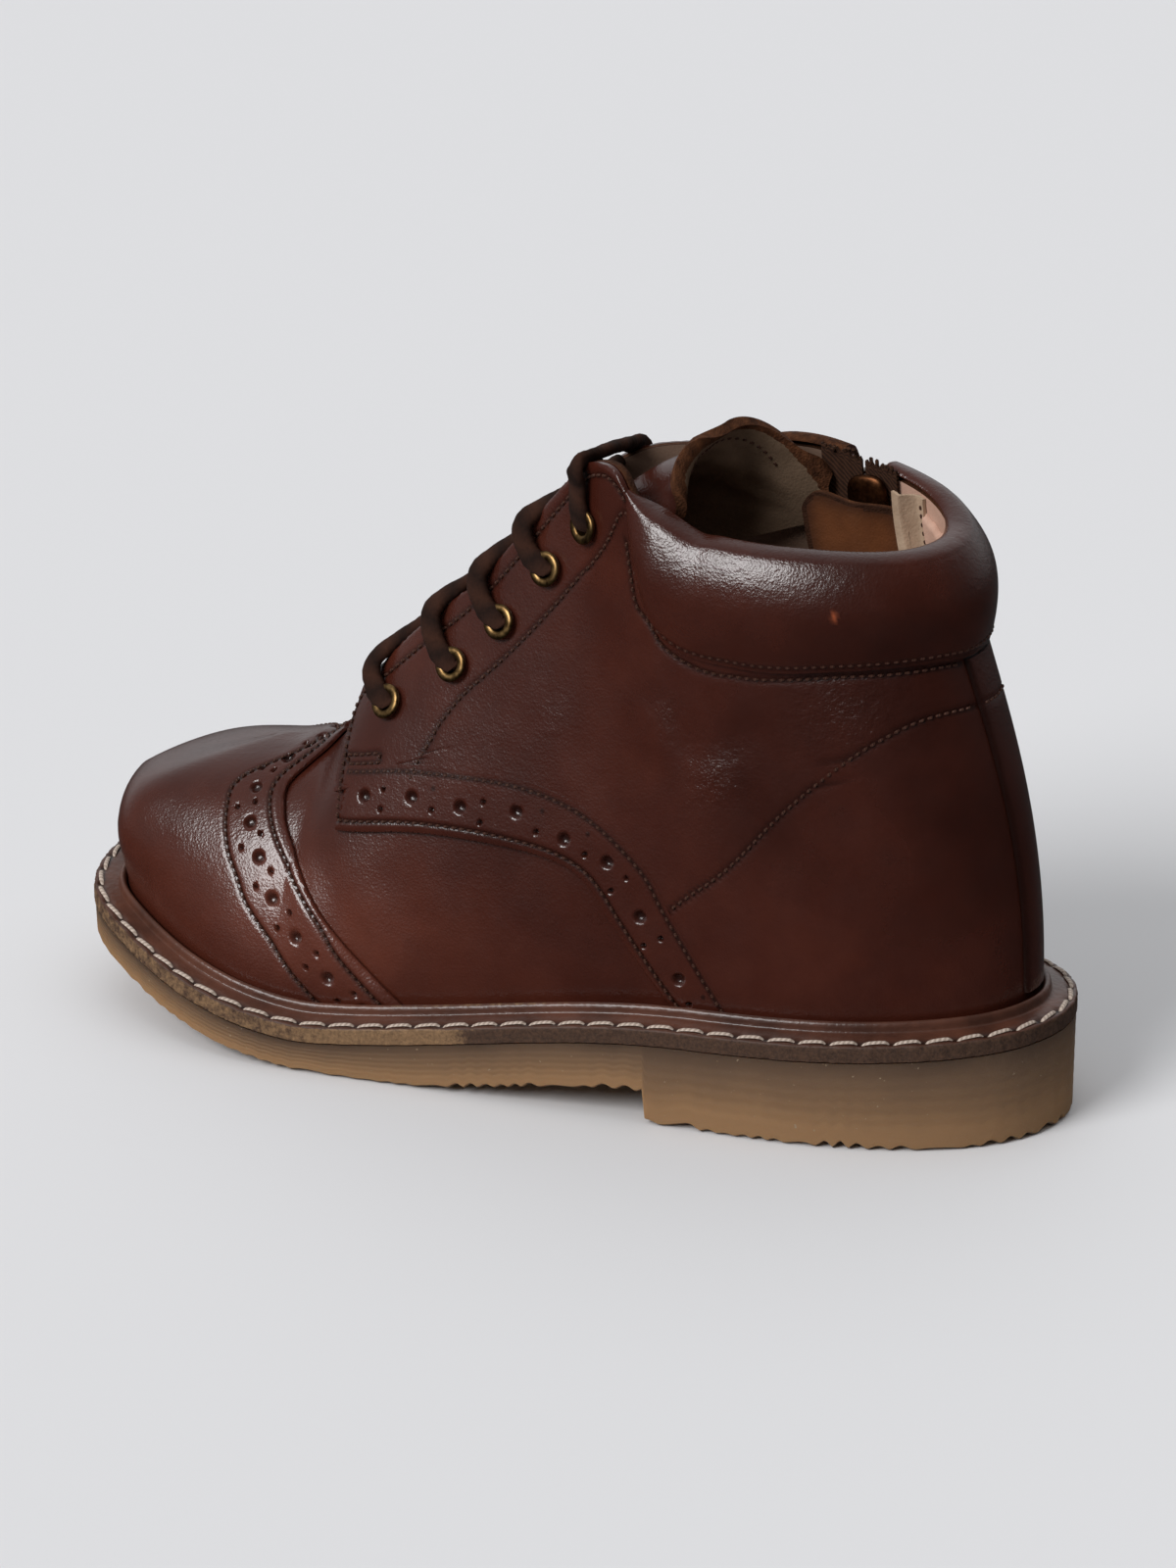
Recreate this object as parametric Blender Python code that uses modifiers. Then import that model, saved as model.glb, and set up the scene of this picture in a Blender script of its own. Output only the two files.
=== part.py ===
# Brogue ankle boot for a child's left foot, standing on its sole.
# Toe at +X, lateral side at +Y, zip on the medial side. Sizes and tables are in millimetres,
# and MM turns them into metres where a mesh is made.
import bmesh
import bpy
import numpy as np
from mathutils import Matrix, Vector

MM = 0.001
MERGE = 0.00002

# Sole and welt
LENGTH = 193.0
HEEL_LEDGE = 19.2
HEEL_PITCH = 3.0
BALL_LEDGE = 9.4
LEDGE_DROP_START = -34.7
LEDGE_DROP_RUN = 81.0
SPRING_START = 38.6
SPRING_POWER = 1.6
TOE_RISE = 14.5
BREAST_X = -27.0
BREAST_HEIGHT = 6.0
ARCH_RUN = 52.0
TREAD_RISE = 14.4
RUBBER_INSET = 0.2
LUG_INSET = 1.2
LUG_ROUND = 0.5
LUG_DEPTH = 1.3
LUG_REACH = 6.0
SOLE_STATIONS = 82
WELT_THICKNESS = 3.2
WELT_STATIONS = 54
INSOLE_INSET = 11.2
INSOLE_THICKNESS = 3.0
INSOLE_STATIONS = 32

# Leather layers
GAP = 0.3
WALL = 1.6
LAYER = 1.2
PANEL_TOP = 1.6
FEATHER_INSET = 8.8
SEAT = 3.2
HEIGHT_ROWS = 11
HEM = 0.02
SLIT_MARGIN = 0.005
STRIP_HALF = 0.045
STRIP_HEM = 0.05
TONGUE_THICKNESS = 2.0
PAD = 3.8
PAD_EDGE = 0.8
COLLAR_PARTING = 0.025

# Zip, in stations of the medial side
ZIP_STATION = 0.24
ZIP_HALF = 0.015
ZIP_FOOT = 0.3
TAPE_HALF = 0.045
TAPE_THICKNESS = 0.7
CHAIN_HALF = 2.3
CHAIN_THICKNESS = 1.6
CHAIN_LIFT = 0.2
TOOTH_COUNT = 18
TOOTH_NOTCH = 0.5
SLIDER_SIZE = (6.6, 3.0, 9.0)
SLIDER_HEIGHT = 0.93
SLIDER_ROUND = 0.6
EAR_THICKNESS = 0.6
EAR_LENGTH = 2.4
EAR_ROOT = 0.8
PULL_LENGTH = 15.0
PULL_WIDTH = 4.6
PULL_THICKNESS = 1.2
PULL_ROUND = 0.4
PIN_RADIUS = 0.6
PIN_LIFT = 1.2
TAPE_DEPTH = 2.1
TAPE_END = 2.0
FLAP_ROOT = 3.1
FLAP_DEPTH = 8.6
FLAP_SEWN = 0.55
FLAP_THICKNESS = 1.3
FLAP_STATIONS = (-0.07, 0.055)
FLAP_FOOT = 0.34
FLAP_TALL = 0.61
FLAP_ROUND = 0.05

# Lacing
EYELET_RADIUS = 2.45
EYELET_WIRE = 0.85
EYELET_FLAT = 0.6
LACE_RADIUS = 1.35
LACE_LIFT = 5.3
EDGE_LIFT = 4.2
EDGE_SHARE = 0.11
TUCK = 0.62
TAB_SIDE = (0.417, 0.96)
TAB_TOP = (0.412, 1.0)
BAR_ARCH = 1.6
CROWN = 1.2

CENTRE_Y = 1.71

# Sole outline: once round from heel (0) by the lateral side to the toe (1) and back by the medial side (2)
OUTLINE_COLUMNS = ("around", "side")
OUTLINE = (
    (0.00, 0.0),
    (0.14, 18.5),
    (0.28, 30.5),
    (0.42, 34.5),
    (0.56, 37.2),
    (0.70, 38.8),
    (0.82, 29.3),
    (0.92, 17.8),
    (1.00, 0.0),
    (1.08, -18.2),
    (1.18, -31.0),
    (1.30, -36.0),
    (1.44, -31.5),
    (1.58, -28.5),
    (1.72, -29.0),
    (1.86, -18.5),
    (2.00, 0.0),
)

# Welt: from its outer lower edge over the ledge and the bead to its inner lower edge
WELT_COLUMNS = ("inset", "height")
WELT_PROFILE = (
    (0.0, -WELT_THICKNESS),
    (0.0, -0.5),
    (0.5, 0.0),
    (4.8, 0.7),
    (5.0, 2.1),
    (5.5, 2.6),
    (6.1, 2.2),
    (6.3, 1.4),
    (6.3, -WELT_THICKNESS),
)

# Upper: each section runs from the feather line to the top line (collar, facing edge or ridge).
# Slope and hold set how it leaves the top line, flare and rise how it leaves the feather line.
SECTION_COLUMNS = ("station", "top_x", "top_half", "top_z", "fall", "slope", "hold", "flare", "rise")
SECTIONS = (
    (0.00, -71.0, 0.0, 106.5, 0.00, 86, 20, 2, 46),
    (0.10, -67.0, 11.5, 106.7, 0.00, 86, 20, 2, 46),
    (0.20, -55.0, 18.0, 107.0, 0.00, 86, 24, 2, 42),
    (0.30, -36.0, 20.0, 107.5, 0.00, 85, 28, 2, 32),
    (0.35, -22.7, 18.5, 108.4, 0.00, 80, 28, 2, 27),
    (0.365, -18.7, 17.4, 111.5, 0.00, 77, 28, 2, 26),
    (0.38, -14.8, 15.8, 117.2, 0.00, 73, 27, 2, 24),
    (0.40, -9.5, 13.0, 118.0, 0.00, 68, 26, 2, 23),
    (0.43, -3.5, 9.0, 113.5, 0.00, 62, 26, 2, 21),
    (0.50, 14.0, 8.5, 92.5, 0.00, 55, 24, 3, 19),
    (0.57, 31.0, 8.5, 76.0, 0.00, 45, 20, 4, 17),
    (0.63, 42.0, 7.0, 62.0, 0.00, 30, 16, 5, 16),
    (0.67, 47.0, 0.0, 54.0, -0.28, 0, 16, 6, 16),
    (0.76, 53.0, 0.0, 50.8, -0.27, 0, 20, 7, 18),
    (0.88, 60.0, 0.0, 47.9, -0.28, 0, 29, 7, 22),
    (1.00, 64.0, 0.0, 46.4, -0.30, 0, 35, 7, 25),
)
THROAT = 0.67
# The medial top line stands higher beside the zip and lower at the facing
MEDIAL_COLUMNS = ("station", "rise")
MEDIAL_RISE = (
    (0.00, 0.0),
    (0.05, 0.3),
    (0.10, 1.5),
    (0.16, 3.5),
    (0.20, 4.6),
    (0.24, 5.5),
    (0.30, 7.2),
    (0.35, 5.4),
    (0.365, 2.1),
    (0.38, -3.7),
    (0.40, -4.8),
    (0.43, -2.5),
    (0.50, 0.0),
    (0.60, 0.0),
    (1.00, 0.0),
)

# Edges of the panels on the upper, from the feather line (height 0) to the top line (height 1)
CAP_EDGE_COLUMNS = ("height", "station")
CAP_EDGE = (
    (0.00, 0.565),
    (0.10, 0.584),
    (0.27, 0.621),
    (0.49, 0.674),
    (0.62, 0.705),
    (0.72, 0.717),
    (0.80, 0.703),
    (0.88, 0.682),
    (1.00, 0.676),
)
QUARTER_EDGE_COLUMNS = ("height", "station")
QUARTER_EDGE = (
    (0.00, 0.388),
    (0.13, 0.415),
    (0.25, 0.438),
    (0.33, 0.456),
    (0.40, 0.483),
    (0.46, 0.521),
    (0.52, 0.568),
    (0.58, 0.626),
    (0.65, 0.630),
    (0.85, 0.629),
    (1.00, 0.614),
)
COLLAR_SEAM_COLUMNS = ("station", "height")
COLLAR_SEAM = (
    (0.00, 0.710),
    (0.10, 0.713),
    (0.22, 0.734),
    (0.30, 0.755),
    (0.34, 0.785),
    (0.36, 0.870),
)
# Collar's roll over the upper's rim, out from its outer face and up from its top line
COLLAR_ROLL_COLUMNS = ("out", "up")
COLLAR_ROLL = (
    (3.0, 1.2),
    (0.8, 1.9),
    (-1.2, 1.7),
    (-1.6, 1.2),
    (-1.6, 0.9),
    (1.9, 0.9),
)
EYELET_COLUMNS = ("station", "height")
EYELETS = (
    (0.583, 0.850),
    (0.531, 0.842),
    (0.494, 0.860),
    (0.460, 0.872),
    (0.424, 0.884),
)

# Tongue: crest line, then half width, hang and lie-back of its lateral side and of its medial side,
# which wraps back inside the wall
TONGUE_COLUMNS = (
    "crest_x", "crest_y", "crest_z",
    "lateral_half", "lateral_sag", "lateral_back",
    "medial_half", "medial_sag", "medial_back",
)
TONGUE = (
    (45.0, 0.0, 50.5, 11.0, 4.5, 0.0, 11.0, 4.5, 0.0),
    (37.5, 0.0, 63.0, 11.5, 8.0, 0.0, 11.5, 8.0, 0.0),
    (25.0, 0.0, 77.6, 11.0, 10.5, 0.0, 11.0, 10.5, 0.0),
    (14.0, 0.0, 88.2, 10.5, 11.0, 0.0, 10.5, 11.0, 0.0),
    (4.0, 0.0, 98.4, 10.2, 11.0, 1.0, 10.4, 11.5, 3.0),
    (-5.0, 0.0, 106.5, 10.6, 9.5, 4.0, 12.2, 12.0, 11.0),
    (-14.0, 0.0, 113.5, 13.0, 8.5, 7.0, 16.6, 13.0, 20.0),
    (-20.5, 0.0, 117.5, 14.5, 6.0, 4.0, 17.2, 14.0, 20.0),
    (-25.0, -0.5, 121.5, 13.3, 5.5, -0.8, 16.4, 13.0, 16.0),
    (-27.5, -1.0, 124.1, 10.5, 3.0, -4.0, 15.2, 12.0, 11.5),
)


def table(rows, columns, name):
    """One named column of a table."""
    return np.array(rows, dtype=float)[:, columns.index(name)]


def through(knots, values, at, period=None):
    """Smooth curve through a table's rows."""
    if period is None:
        slopes = np.gradient(values, knots)
    else:
        longer_knots = np.concatenate(([knots[-2] - period], knots, [knots[1] + period]))
        longer_values = np.concatenate(([values[-2]], values, [values[1]]))
        slopes = np.gradient(longer_values, longer_knots)[1:-1]
    low = np.clip(np.searchsorted(knots, at, side="right") - 1, 0, len(knots) - 2)
    width = knots[low + 1] - knots[low]
    s = (at - knots[low]) / width
    start = values[low] * (1 + 2 * s) * (1 - s) ** 2 + width * slopes[low] * s * (1 - s) ** 2
    end = values[low + 1] * s * s * (3 - 2 * s) + width * slopes[low + 1] * s * s * (s - 1)
    return start + end


def curve_of(rows, columns, knot, value, at):
    """Smooth curve of one column of a table over another."""
    return through(table(rows, columns, knot), table(rows, columns, value), at)


def ease(s):
    """Smooth step from 0 to 1."""
    s = np.clip(s, 0, 1)
    return s * s * (3 - 2 * s)


def toe_spring(x):
    """Share of the toe's rise: none behind the ball, all at the tip."""
    return np.clip((x - SPRING_START) / (LENGTH / 2 - SPRING_START), 0, 1) ** SPRING_POWER


def ledge_height(x):
    """Height of the welt's outer edge: pitched heel, drop through the arch, ball and toe spring."""
    arch = ease((x - LEDGE_DROP_START) / LEDGE_DROP_RUN)
    pitch = np.clip((BREAST_X - x) / (0.5 * LENGTH + BREAST_X), 0, 1) ** 1.5
    return HEEL_LEDGE + HEEL_PITCH * pitch + (BALL_LEDGE - HEEL_LEDGE) * arch + TOE_RISE * toe_spring(x)


def tread_height(x):
    """Height of the tread: flat heel, raised arch behind the ball, and toe spring."""
    arch = BREAST_HEIGHT * (1 - ease((x - BREAST_X) / ARCH_RUN))
    return np.where(x < BREAST_X, 0.0, arch + TREAD_RISE * toe_spring(x))


def outline_point(around):
    """Point of the sole outline."""
    around = np.mod(around, 2.0)
    knots = table(OUTLINE, OUTLINE_COLUMNS, "around")
    sides = table(OUTLINE, OUTLINE_COLUMNS, "side")
    x = -LENGTH / 2 * np.cos(np.pi * around)
    return np.stack([x, through(knots, sides, around, 2.0)], -1)


def outline_normal(around):
    """Outward direction of the sole outline, seen from above."""
    step = 0.001
    along = outline_point(around + step) - outline_point(around - step)
    along /= np.linalg.norm(along, axis=-1, keepdims=True)
    return np.stack([-along[..., 1], along[..., 0]], -1)


def inset_point(around, inset, height):
    """Point inside the outline, at a height over the welt's edge."""
    flat = outline_point(around) - inset * outline_normal(around)
    return np.concatenate([flat, (ledge_height(flat[..., 0]) + height)[..., None]], -1)


def section(name, station):
    """One value of the upper's sections at a station."""
    return curve_of(SECTIONS, SECTION_COLUMNS, "station", name, station)


def upper_point(around, height):
    """Outer face of the upper's wall: a cubic section from feather line to top line."""
    around, height = np.broadcast_arrays(np.mod(around, 2.0), np.asarray(height, dtype=float))
    lateral = around <= 1.0
    station = np.where(lateral, around, 2.0 - around)
    foot = inset_point(around, FEATHER_INSET, -SEAT)
    half = np.where(station < THROAT, np.maximum(section("top_half", station), 0.0), 0.0)
    rise = curve_of(MEDIAL_RISE, MEDIAL_COLUMNS, "station", "rise", station)
    top_z = section("top_z", station) + np.where(lateral, 0.0, rise)
    top = np.stack([section("top_x", station), np.where(lateral, half, -half), top_z], -1)
    outward = foot[..., :2] - top[..., :2]
    outward = outward / np.linalg.norm(outward, axis=-1, keepdims=True)
    slope = np.radians(section("slope", station))
    drop = np.cos(slope) * outward[..., 0] * section("fall", station) - np.sin(slope)
    leave_top = np.concatenate([outward * np.cos(slope)[..., None], drop[..., None]], -1)
    flare = np.radians(section("flare", station))
    leave_foot = np.concatenate(
        [outline_normal(around) * np.sin(flare)[..., None], np.cos(flare)[..., None]], -1
    )
    low = foot + section("rise", station)[..., None] * leave_foot
    high = top + section("hold", station)[..., None] * leave_top
    s = height[..., None]
    return (1 - s) ** 3 * foot + 3 * (1 - s) ** 2 * s * low + 3 * (1 - s) * s * s * high + s ** 3 * top


def upper_normal(around, height):
    """Outward direction of the upper's outer face; along the ridge it is square to the ridge line."""
    around, height = np.broadcast_arrays(np.mod(around, 2.0), np.asarray(height, dtype=float))
    station = np.where(around <= 1.0, around, 2.0 - around)
    step = 0.002
    inside = np.clip(height, step, 1.0 - step)
    along = upper_point(around + step, inside) - upper_point(around - step, inside)
    out = np.cross(upper_point(around, inside + step) - upper_point(around, inside - step), along)
    out = out / np.linalg.norm(out, axis=-1, keepdims=True)
    ridge = np.stack([-section("fall", station), np.zeros_like(station), np.ones_like(station)], -1)
    ridge = ridge / np.linalg.norm(ridge, axis=-1, keepdims=True)
    on_ridge = (station >= THROAT) & (height > 1.0 - step)
    return np.where(on_ridge[..., None], ridge, out)


def layer_point(around, height, offset):
    """Point at an offset outside the upper's outer face."""
    around, height = np.broadcast_arrays(around, height)
    return upper_point(around, height) + offset * upper_normal(around, height)


def material(name, colour, roughness, metallic=0.0):
    """Plain surface of one colour."""
    made = bpy.data.materials.new(name)
    made.use_nodes = True
    shader = made.node_tree.nodes["Principled BSDF"]
    shader.inputs["Base Color"].default_value = (*colour, 1.0)
    shader.inputs["Roughness"].default_value = roughness
    shader.inputs["Metallic"].default_value = metallic
    return made


def place(name, mesh, surface, collection):
    """Object for a mesh, under the boot's empty."""
    made = bpy.data.objects.new(name, mesh)
    mesh.materials.append(surface)
    mesh.shade_smooth()
    mesh.set_sharp_from_angle(angle=0.7)
    collection.objects.link(made)
    made.parent = boot
    return made


def skin(name, grid, surface, wrap_rows=False, wrap_columns=False, capped=False, keep=None, closed=True):
    """Loft over a grid of points, rows by columns. Points that meet are merged."""
    rows, columns = grid.shape[:2]
    shape = bmesh.new()
    points = [[shape.verts.new(Vector(point) * MM) for point in row] for row in grid]
    for row in range(rows if wrap_rows else rows - 1):
        for column in range(columns if wrap_columns else columns - 1):
            if keep is not None and not keep[row, column]:
                continue
            next_row = (row + 1) % rows
            next_column = (column + 1) % columns
            shape.faces.new((
                points[row][column],
                points[row][next_column],
                points[next_row][next_column],
                points[next_row][column],
            ))
    if capped:
        shape.faces.new(points[0])
        shape.faces.new(points[-1][::-1])
    bmesh.ops.remove_doubles(shape, verts=shape.verts, dist=MERGE)
    bmesh.ops.dissolve_degenerate(shape, edges=shape.edges, dist=MERGE)
    loose = [vert for vert in shape.verts if not vert.link_faces]
    bmesh.ops.delete(shape, geom=loose, context="VERTS")
    if closed:
        bmesh.ops.recalc_face_normals(shape, faces=shape.faces)
    mesh = bpy.data.meshes.new(name)
    shape.to_mesh(mesh)
    shape.free()
    return place(name, mesh, surface, parts)


def shell(name, grid, thickness, surface, **loft):
    """Sheet whose outer face is a grid of points, given its thickness inward."""
    made = skin(name, grid, surface, closed=False, **loft)
    wall = made.modifiers.new("thickness", "SOLIDIFY")
    wall.thickness = thickness * MM
    wall.offset = -1.0
    wall.use_even_offset = True
    return made


def make_outsole():
    """Rubber sole: sections from side to side, lugs notched into its lower edge."""
    breast = np.arccos(-2 * BREAST_X / LENGTH) / np.pi
    stations = np.linspace(0, 1, SOLE_STATIONS + 1)
    notch = np.where(np.arange(SOLE_STATIONS + 1) % 2 == 0, 0.0, LUG_DEPTH)
    clear = np.abs(stations - breast) > 0.004
    stations = np.concatenate([stations[clear], [breast - 0.001, breast + 0.001]])
    notch = np.concatenate([notch[clear], [0.0, 0.0]])
    order = np.argsort(stations)
    stations = stations[order]
    notch = notch[order]
    top = -WELT_THICKNESS - GAP
    edge_x = outline_point(stations)[:, 0]
    tread = tread_height(edge_x)
    columns = []
    for around in (stations, 2.0 - stations):
        upper_edge = inset_point(around, RUBBER_INSET, top)
        lower_edge = inset_point(around, 2 * RUBBER_INSET, 0.0)
        lower_edge[:, 2] = tread + LUG_ROUND + notch
        lug_foot = inset_point(around, LUG_INSET, 0.0)
        lug_foot[:, 2] = tread + notch
        lug_root = inset_point(around, LUG_REACH, 0.0)
        lug_root[:, 2] = tread
        columns.append((upper_edge, lower_edge, lug_foot, lug_root))
    loop = list(columns[0]) + list(columns[1])[::-1]
    skin("outsole", np.stack(loop, 1), rubber, wrap_columns=True)


def make_welt():
    """Leather welt: stitched ledge falling outward, and a raised bead beside the upper."""
    around = np.linspace(0, 2, WELT_STATIONS, endpoint=False)
    loop = [inset_point(around, inset, height) for inset, height in WELT_PROFILE]
    skin("welt", np.stack(loop, 1), welt_leather, wrap_rows=True, wrap_columns=True)


def make_insole():
    """Board that the foot stands on, inside the upper's wall."""
    stations = np.linspace(0, 1, INSOLE_STATIONS + 1)
    low = -WELT_THICKNESS
    high = low + INSOLE_THICKNESS
    loop = [
        inset_point(stations, INSOLE_INSET, high),
        inset_point(stations, INSOLE_INSET, low),
        inset_point(2.0 - stations, INSOLE_INSET, low),
        inset_point(2.0 - stations, INSOLE_INSET, high),
    ]
    skin("insole", np.stack(loop, 1), lining, wrap_columns=True)


def station_lines():
    """Stations of the upper's mesh, with lines on the zip's edges, the tab and the throat."""
    return np.concatenate([
        np.linspace(0, ZIP_STATION - ZIP_HALF, 6),
        np.linspace(ZIP_STATION + ZIP_HALF, 0.335, 3),
        (0.35, 0.365, 0.38, 0.40, 0.43),
        np.linspace(0.465, 0.63, 6),
        np.linspace(THROAT, 0.91, 7),
        (0.94, 0.97, 1.0),
    ])


def height_lines():
    """Heights of the upper's mesh, from feather line to top line."""
    return np.linspace(0, 1, HEIGHT_ROWS)


def make_upper():
    """Vamp, quarters and heel as one hollow wall, open at collar, throat, zip and underneath."""
    lines = station_lines()
    heights = height_lines()
    around = np.concatenate([lines, 2.0 - lines[-2:0:-1]])
    grid = upper_point(around[:, None], heights[None, :])
    middle = (around + np.roll(around, -1)) / 2
    in_slit = np.abs(middle - (2.0 - ZIP_STATION)) < 0.5 * ZIP_HALF
    above_foot = heights[:-1] > ZIP_FOOT - 0.01
    keep = ~(in_slit[:, None] & above_foot[None, :])
    shell("upper", grid, WALL, leather, wrap_rows=True, keep=keep)


def panel_heights():
    """Heights of a panel that starts just above the feather line."""
    return np.concatenate([[HEM], height_lines()[1:]])


def make_toe_cap():
    """Wing toe cap, laid over the front of the vamp."""
    heights = panel_heights()
    edge = curve_of(CAP_EDGE, CAP_EDGE_COLUMNS, "height", "station", heights)
    fixed = station_lines()
    fixed = fixed[fixed > 0.74]
    share = np.linspace(0, 1, 4)[:-1]
    near = edge[None, :] + share[:, None] * (fixed[0] - edge[None, :])
    half = np.concatenate([near, np.repeat(fixed[:, None], len(heights), 1)])
    around = np.concatenate([half, 2.0 - half[-2::-1]])
    grid = layer_point(around, heights[None, :], PANEL_TOP)
    shell("toe_cap", grid, LAYER, leather)


def make_quarter(name, medial):
    """Side panel from the back seam to the facing, over the vamp; the medial one has the zip's slit."""
    heights = np.sort(np.concatenate([panel_heights(), (0.45, 0.55)]))
    edge = curve_of(QUARTER_EDGE, QUARTER_EDGE_COLUMNS, "height", "station", heights)
    fixed = station_lines()
    fixed = fixed[fixed < 0.34]
    fixed[0] = 0.003
    slit = np.argmin(np.abs(fixed - (ZIP_STATION - ZIP_HALF)))
    fixed[slit] -= SLIT_MARGIN
    fixed[slit + 1] += SLIT_MARGIN
    share = np.linspace(0, 1, 12)[1:]
    front = fixed[-1] + share[:, None] * (edge[None, :] - fixed[-1])
    stations = np.concatenate([np.repeat(fixed[:, None], len(heights), 1), front])
    keep = np.ones((len(stations), len(heights)), dtype=bool)
    if medial:
        keep[slit, heights > ZIP_FOOT - 0.01] = False
        around = 2.0 - stations[::-1]
        keep = np.roll(keep[::-1], -1, axis=0)
    else:
        around = stations
    grid = layer_point(around, heights[None, :], PANEL_TOP)
    shell(name, grid, LAYER, leather, keep=keep)


def make_back_strip():
    """Narrow strip over the back seam, from the welt to the collar."""
    top = table(COLLAR_SEAM, COLLAR_SEAM_COLUMNS, "height")[0]
    heights = height_lines()
    heights = heights[heights < top - 1.5 * HEM]
    heights = np.concatenate([[STRIP_HEM], heights[1:], [top - HEM]])
    around = 2.0 + STRIP_HALF * np.array([-1.0, -0.5, 0.0, 0.5, 1.0])
    grid = layer_point(around[:, None], heights[None, :], PANEL_TOP + GAP + LAYER)
    shell("back_strip", grid, LAYER, leather)


def collar_section(around):
    """Closed loop across the padded collar: outer bulge, roll over the rim, flat inner face."""
    station = around if around <= 1.0 else 2.0 - around
    seam = curve_of(COLLAR_SEAM, COLLAR_SEAM_COLUMNS, "station", "height", station)
    share = np.array([0.0, 0.08, 0.25, 0.5, 0.75, 0.92, 1.0])
    heights = seam + share * (1.0 - seam)
    inner = PANEL_TOP + GAP
    bulge = inner + PAD_EDGE + PAD * np.sin(np.pi * (share * 0.92 + 0.04)) ** 0.8
    outer = layer_point(np.full(len(share), around), heights, bulge[:, None])
    rim = upper_point(around, 1.0)
    out = upper_normal(around, 1.0)
    up = upper_point(around, 1.0) - upper_point(around, 0.98)
    up /= np.linalg.norm(up)
    roll = [rim + out * outward + up * upward for outward, upward in COLLAR_ROLL]
    back = layer_point(np.full(3, around), heights[[5, 3, 0]], inner)
    return np.concatenate([outer, np.array(roll), back])


def make_collar():
    """Padded collar in two pieces, parted at the zip."""
    lines = station_lines()
    front = np.concatenate([lines[(lines > 0.29) & (lines < 0.34)], [0.35, 0.362]])
    rear = lines[lines < 0.2]
    rear_end = ZIP_STATION - COLLAR_PARTING
    front_end = ZIP_STATION + COLLAR_PARTING
    lateral = np.concatenate([rear, [0.21, 0.255], front])
    main = np.concatenate([[2.0 - rear_end], 2.0 - rear[:0:-1], lateral])
    medial = np.concatenate([2.0 - front[::-1], [2.0 - front_end]])
    for name, stops in (("collar", main), ("collar_front", medial)):
        grid = np.stack([collar_section(around) for around in stops])
        skin(name, grid, leather, wrap_columns=True, capped=True)


def make_tongue():
    """Tongue under the facings: arched across, standing above the tabs, its medial side wrapped back."""
    row = np.linspace(0, 1, len(TONGUE))
    fine = np.linspace(0, 1, 14)
    across = np.linspace(-1, 1, 11)[None, :]

    def both_sides(name):
        lateral, medial = (
            through(row, table(TONGUE, TONGUE_COLUMNS, f"{side}_{name}"), fine)[:, None]
            for side in ("lateral", "medial")
        )
        return np.where(across > 0, lateral, medial)

    crest = (table(TONGUE, TONGUE_COLUMNS, f"crest_{axis}") for axis in "xyz")
    x, y, z = (through(row, values, fine)[:, None] for values in crest)
    x = x - both_sides("back") * across ** 2
    y = y + both_sides("half") * across
    z = z - both_sides("sag") * across ** 2
    shell("tongue", np.stack([x, y, z], -1), TONGUE_THICKNESS, tongue_leather)


def eyelet_frames(medial):
    """Centre and outward direction of each eyelet on one side, bottom to top."""
    station = table(EYELETS, EYELET_COLUMNS, "station")
    around = 2.0 - station if medial else station
    height = table(EYELETS, EYELET_COLUMNS, "height")
    out = upper_normal(around, height)
    return layer_point(around, height, PANEL_TOP), out


def make_eyelets():
    """Rolled metal rings on both facings."""
    lift = 2 * GAP + EYELET_FLAT * EYELET_WIRE
    for side, medial in (("lateral", False), ("medial", True)):
        centres, outs = eyelet_frames(medial)
        for number, (centre, out) in enumerate(zip(centres, outs), start=1):
            bpy.ops.mesh.primitive_torus_add(
                major_segments=10,
                minor_segments=4,
                major_radius=EYELET_RADIUS * MM,
                minor_radius=EYELET_WIRE * MM,
            )
            made = bpy.context.object
            mesh = made.data
            turn = Vector(out).to_track_quat("Z", "Y").to_matrix().to_4x4()
            mesh.transform(turn @ Matrix.Diagonal((1.0, 1.0, EYELET_FLAT, 1.0)))
            bpy.data.objects.remove(made)
            ring = place(f"eyelet_{side}_{number}", mesh, brass, parts)
            ring.location = Vector(centre + lift * out) * MM


def cord(name, points, collection):
    """Round cord through a few points, as a closed mesh."""
    steps = np.linspace(0, len(points) - 1, 9)
    knots = np.arange(len(points), dtype=float)
    path = np.stack([through(knots, np.array(points)[:, axis], steps) for axis in range(3)], -1)
    curve = bpy.data.curves.new(name, "CURVE")
    curve.dimensions = "3D"
    curve.bevel_depth = LACE_RADIUS * MM
    curve.bevel_resolution = 1
    curve.use_fill_caps = True
    line = curve.splines.new("POLY")
    line.points.add(len(path) - 1)
    for point, spot in zip(line.points, path):
        point.co = (*(Vector(spot) * MM), 1.0)
    guide = bpy.data.objects.new(name + "_route", curve)
    collection.objects.link(guide)
    bpy.context.view_layer.update()
    mesh = bpy.data.meshes.new_from_object(guide.evaluated_get(bpy.context.evaluated_depsgraph_get()))
    bpy.data.objects.remove(guide)
    shape = bmesh.new()
    shape.from_mesh(mesh)
    bmesh.ops.remove_doubles(shape, verts=shape.verts, dist=MERGE)
    bmesh.ops.recalc_face_normals(shape, faces=shape.faces)
    shape.to_mesh(mesh)
    shape.free()
    mesh.materials.clear()
    return place(name, mesh, lace_cotton, collection)


def lace_stop(medial, station, height, lift):
    """Point of the lace over one facing."""
    return layer_point(2.0 - station if medial else station, height, lift)


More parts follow.
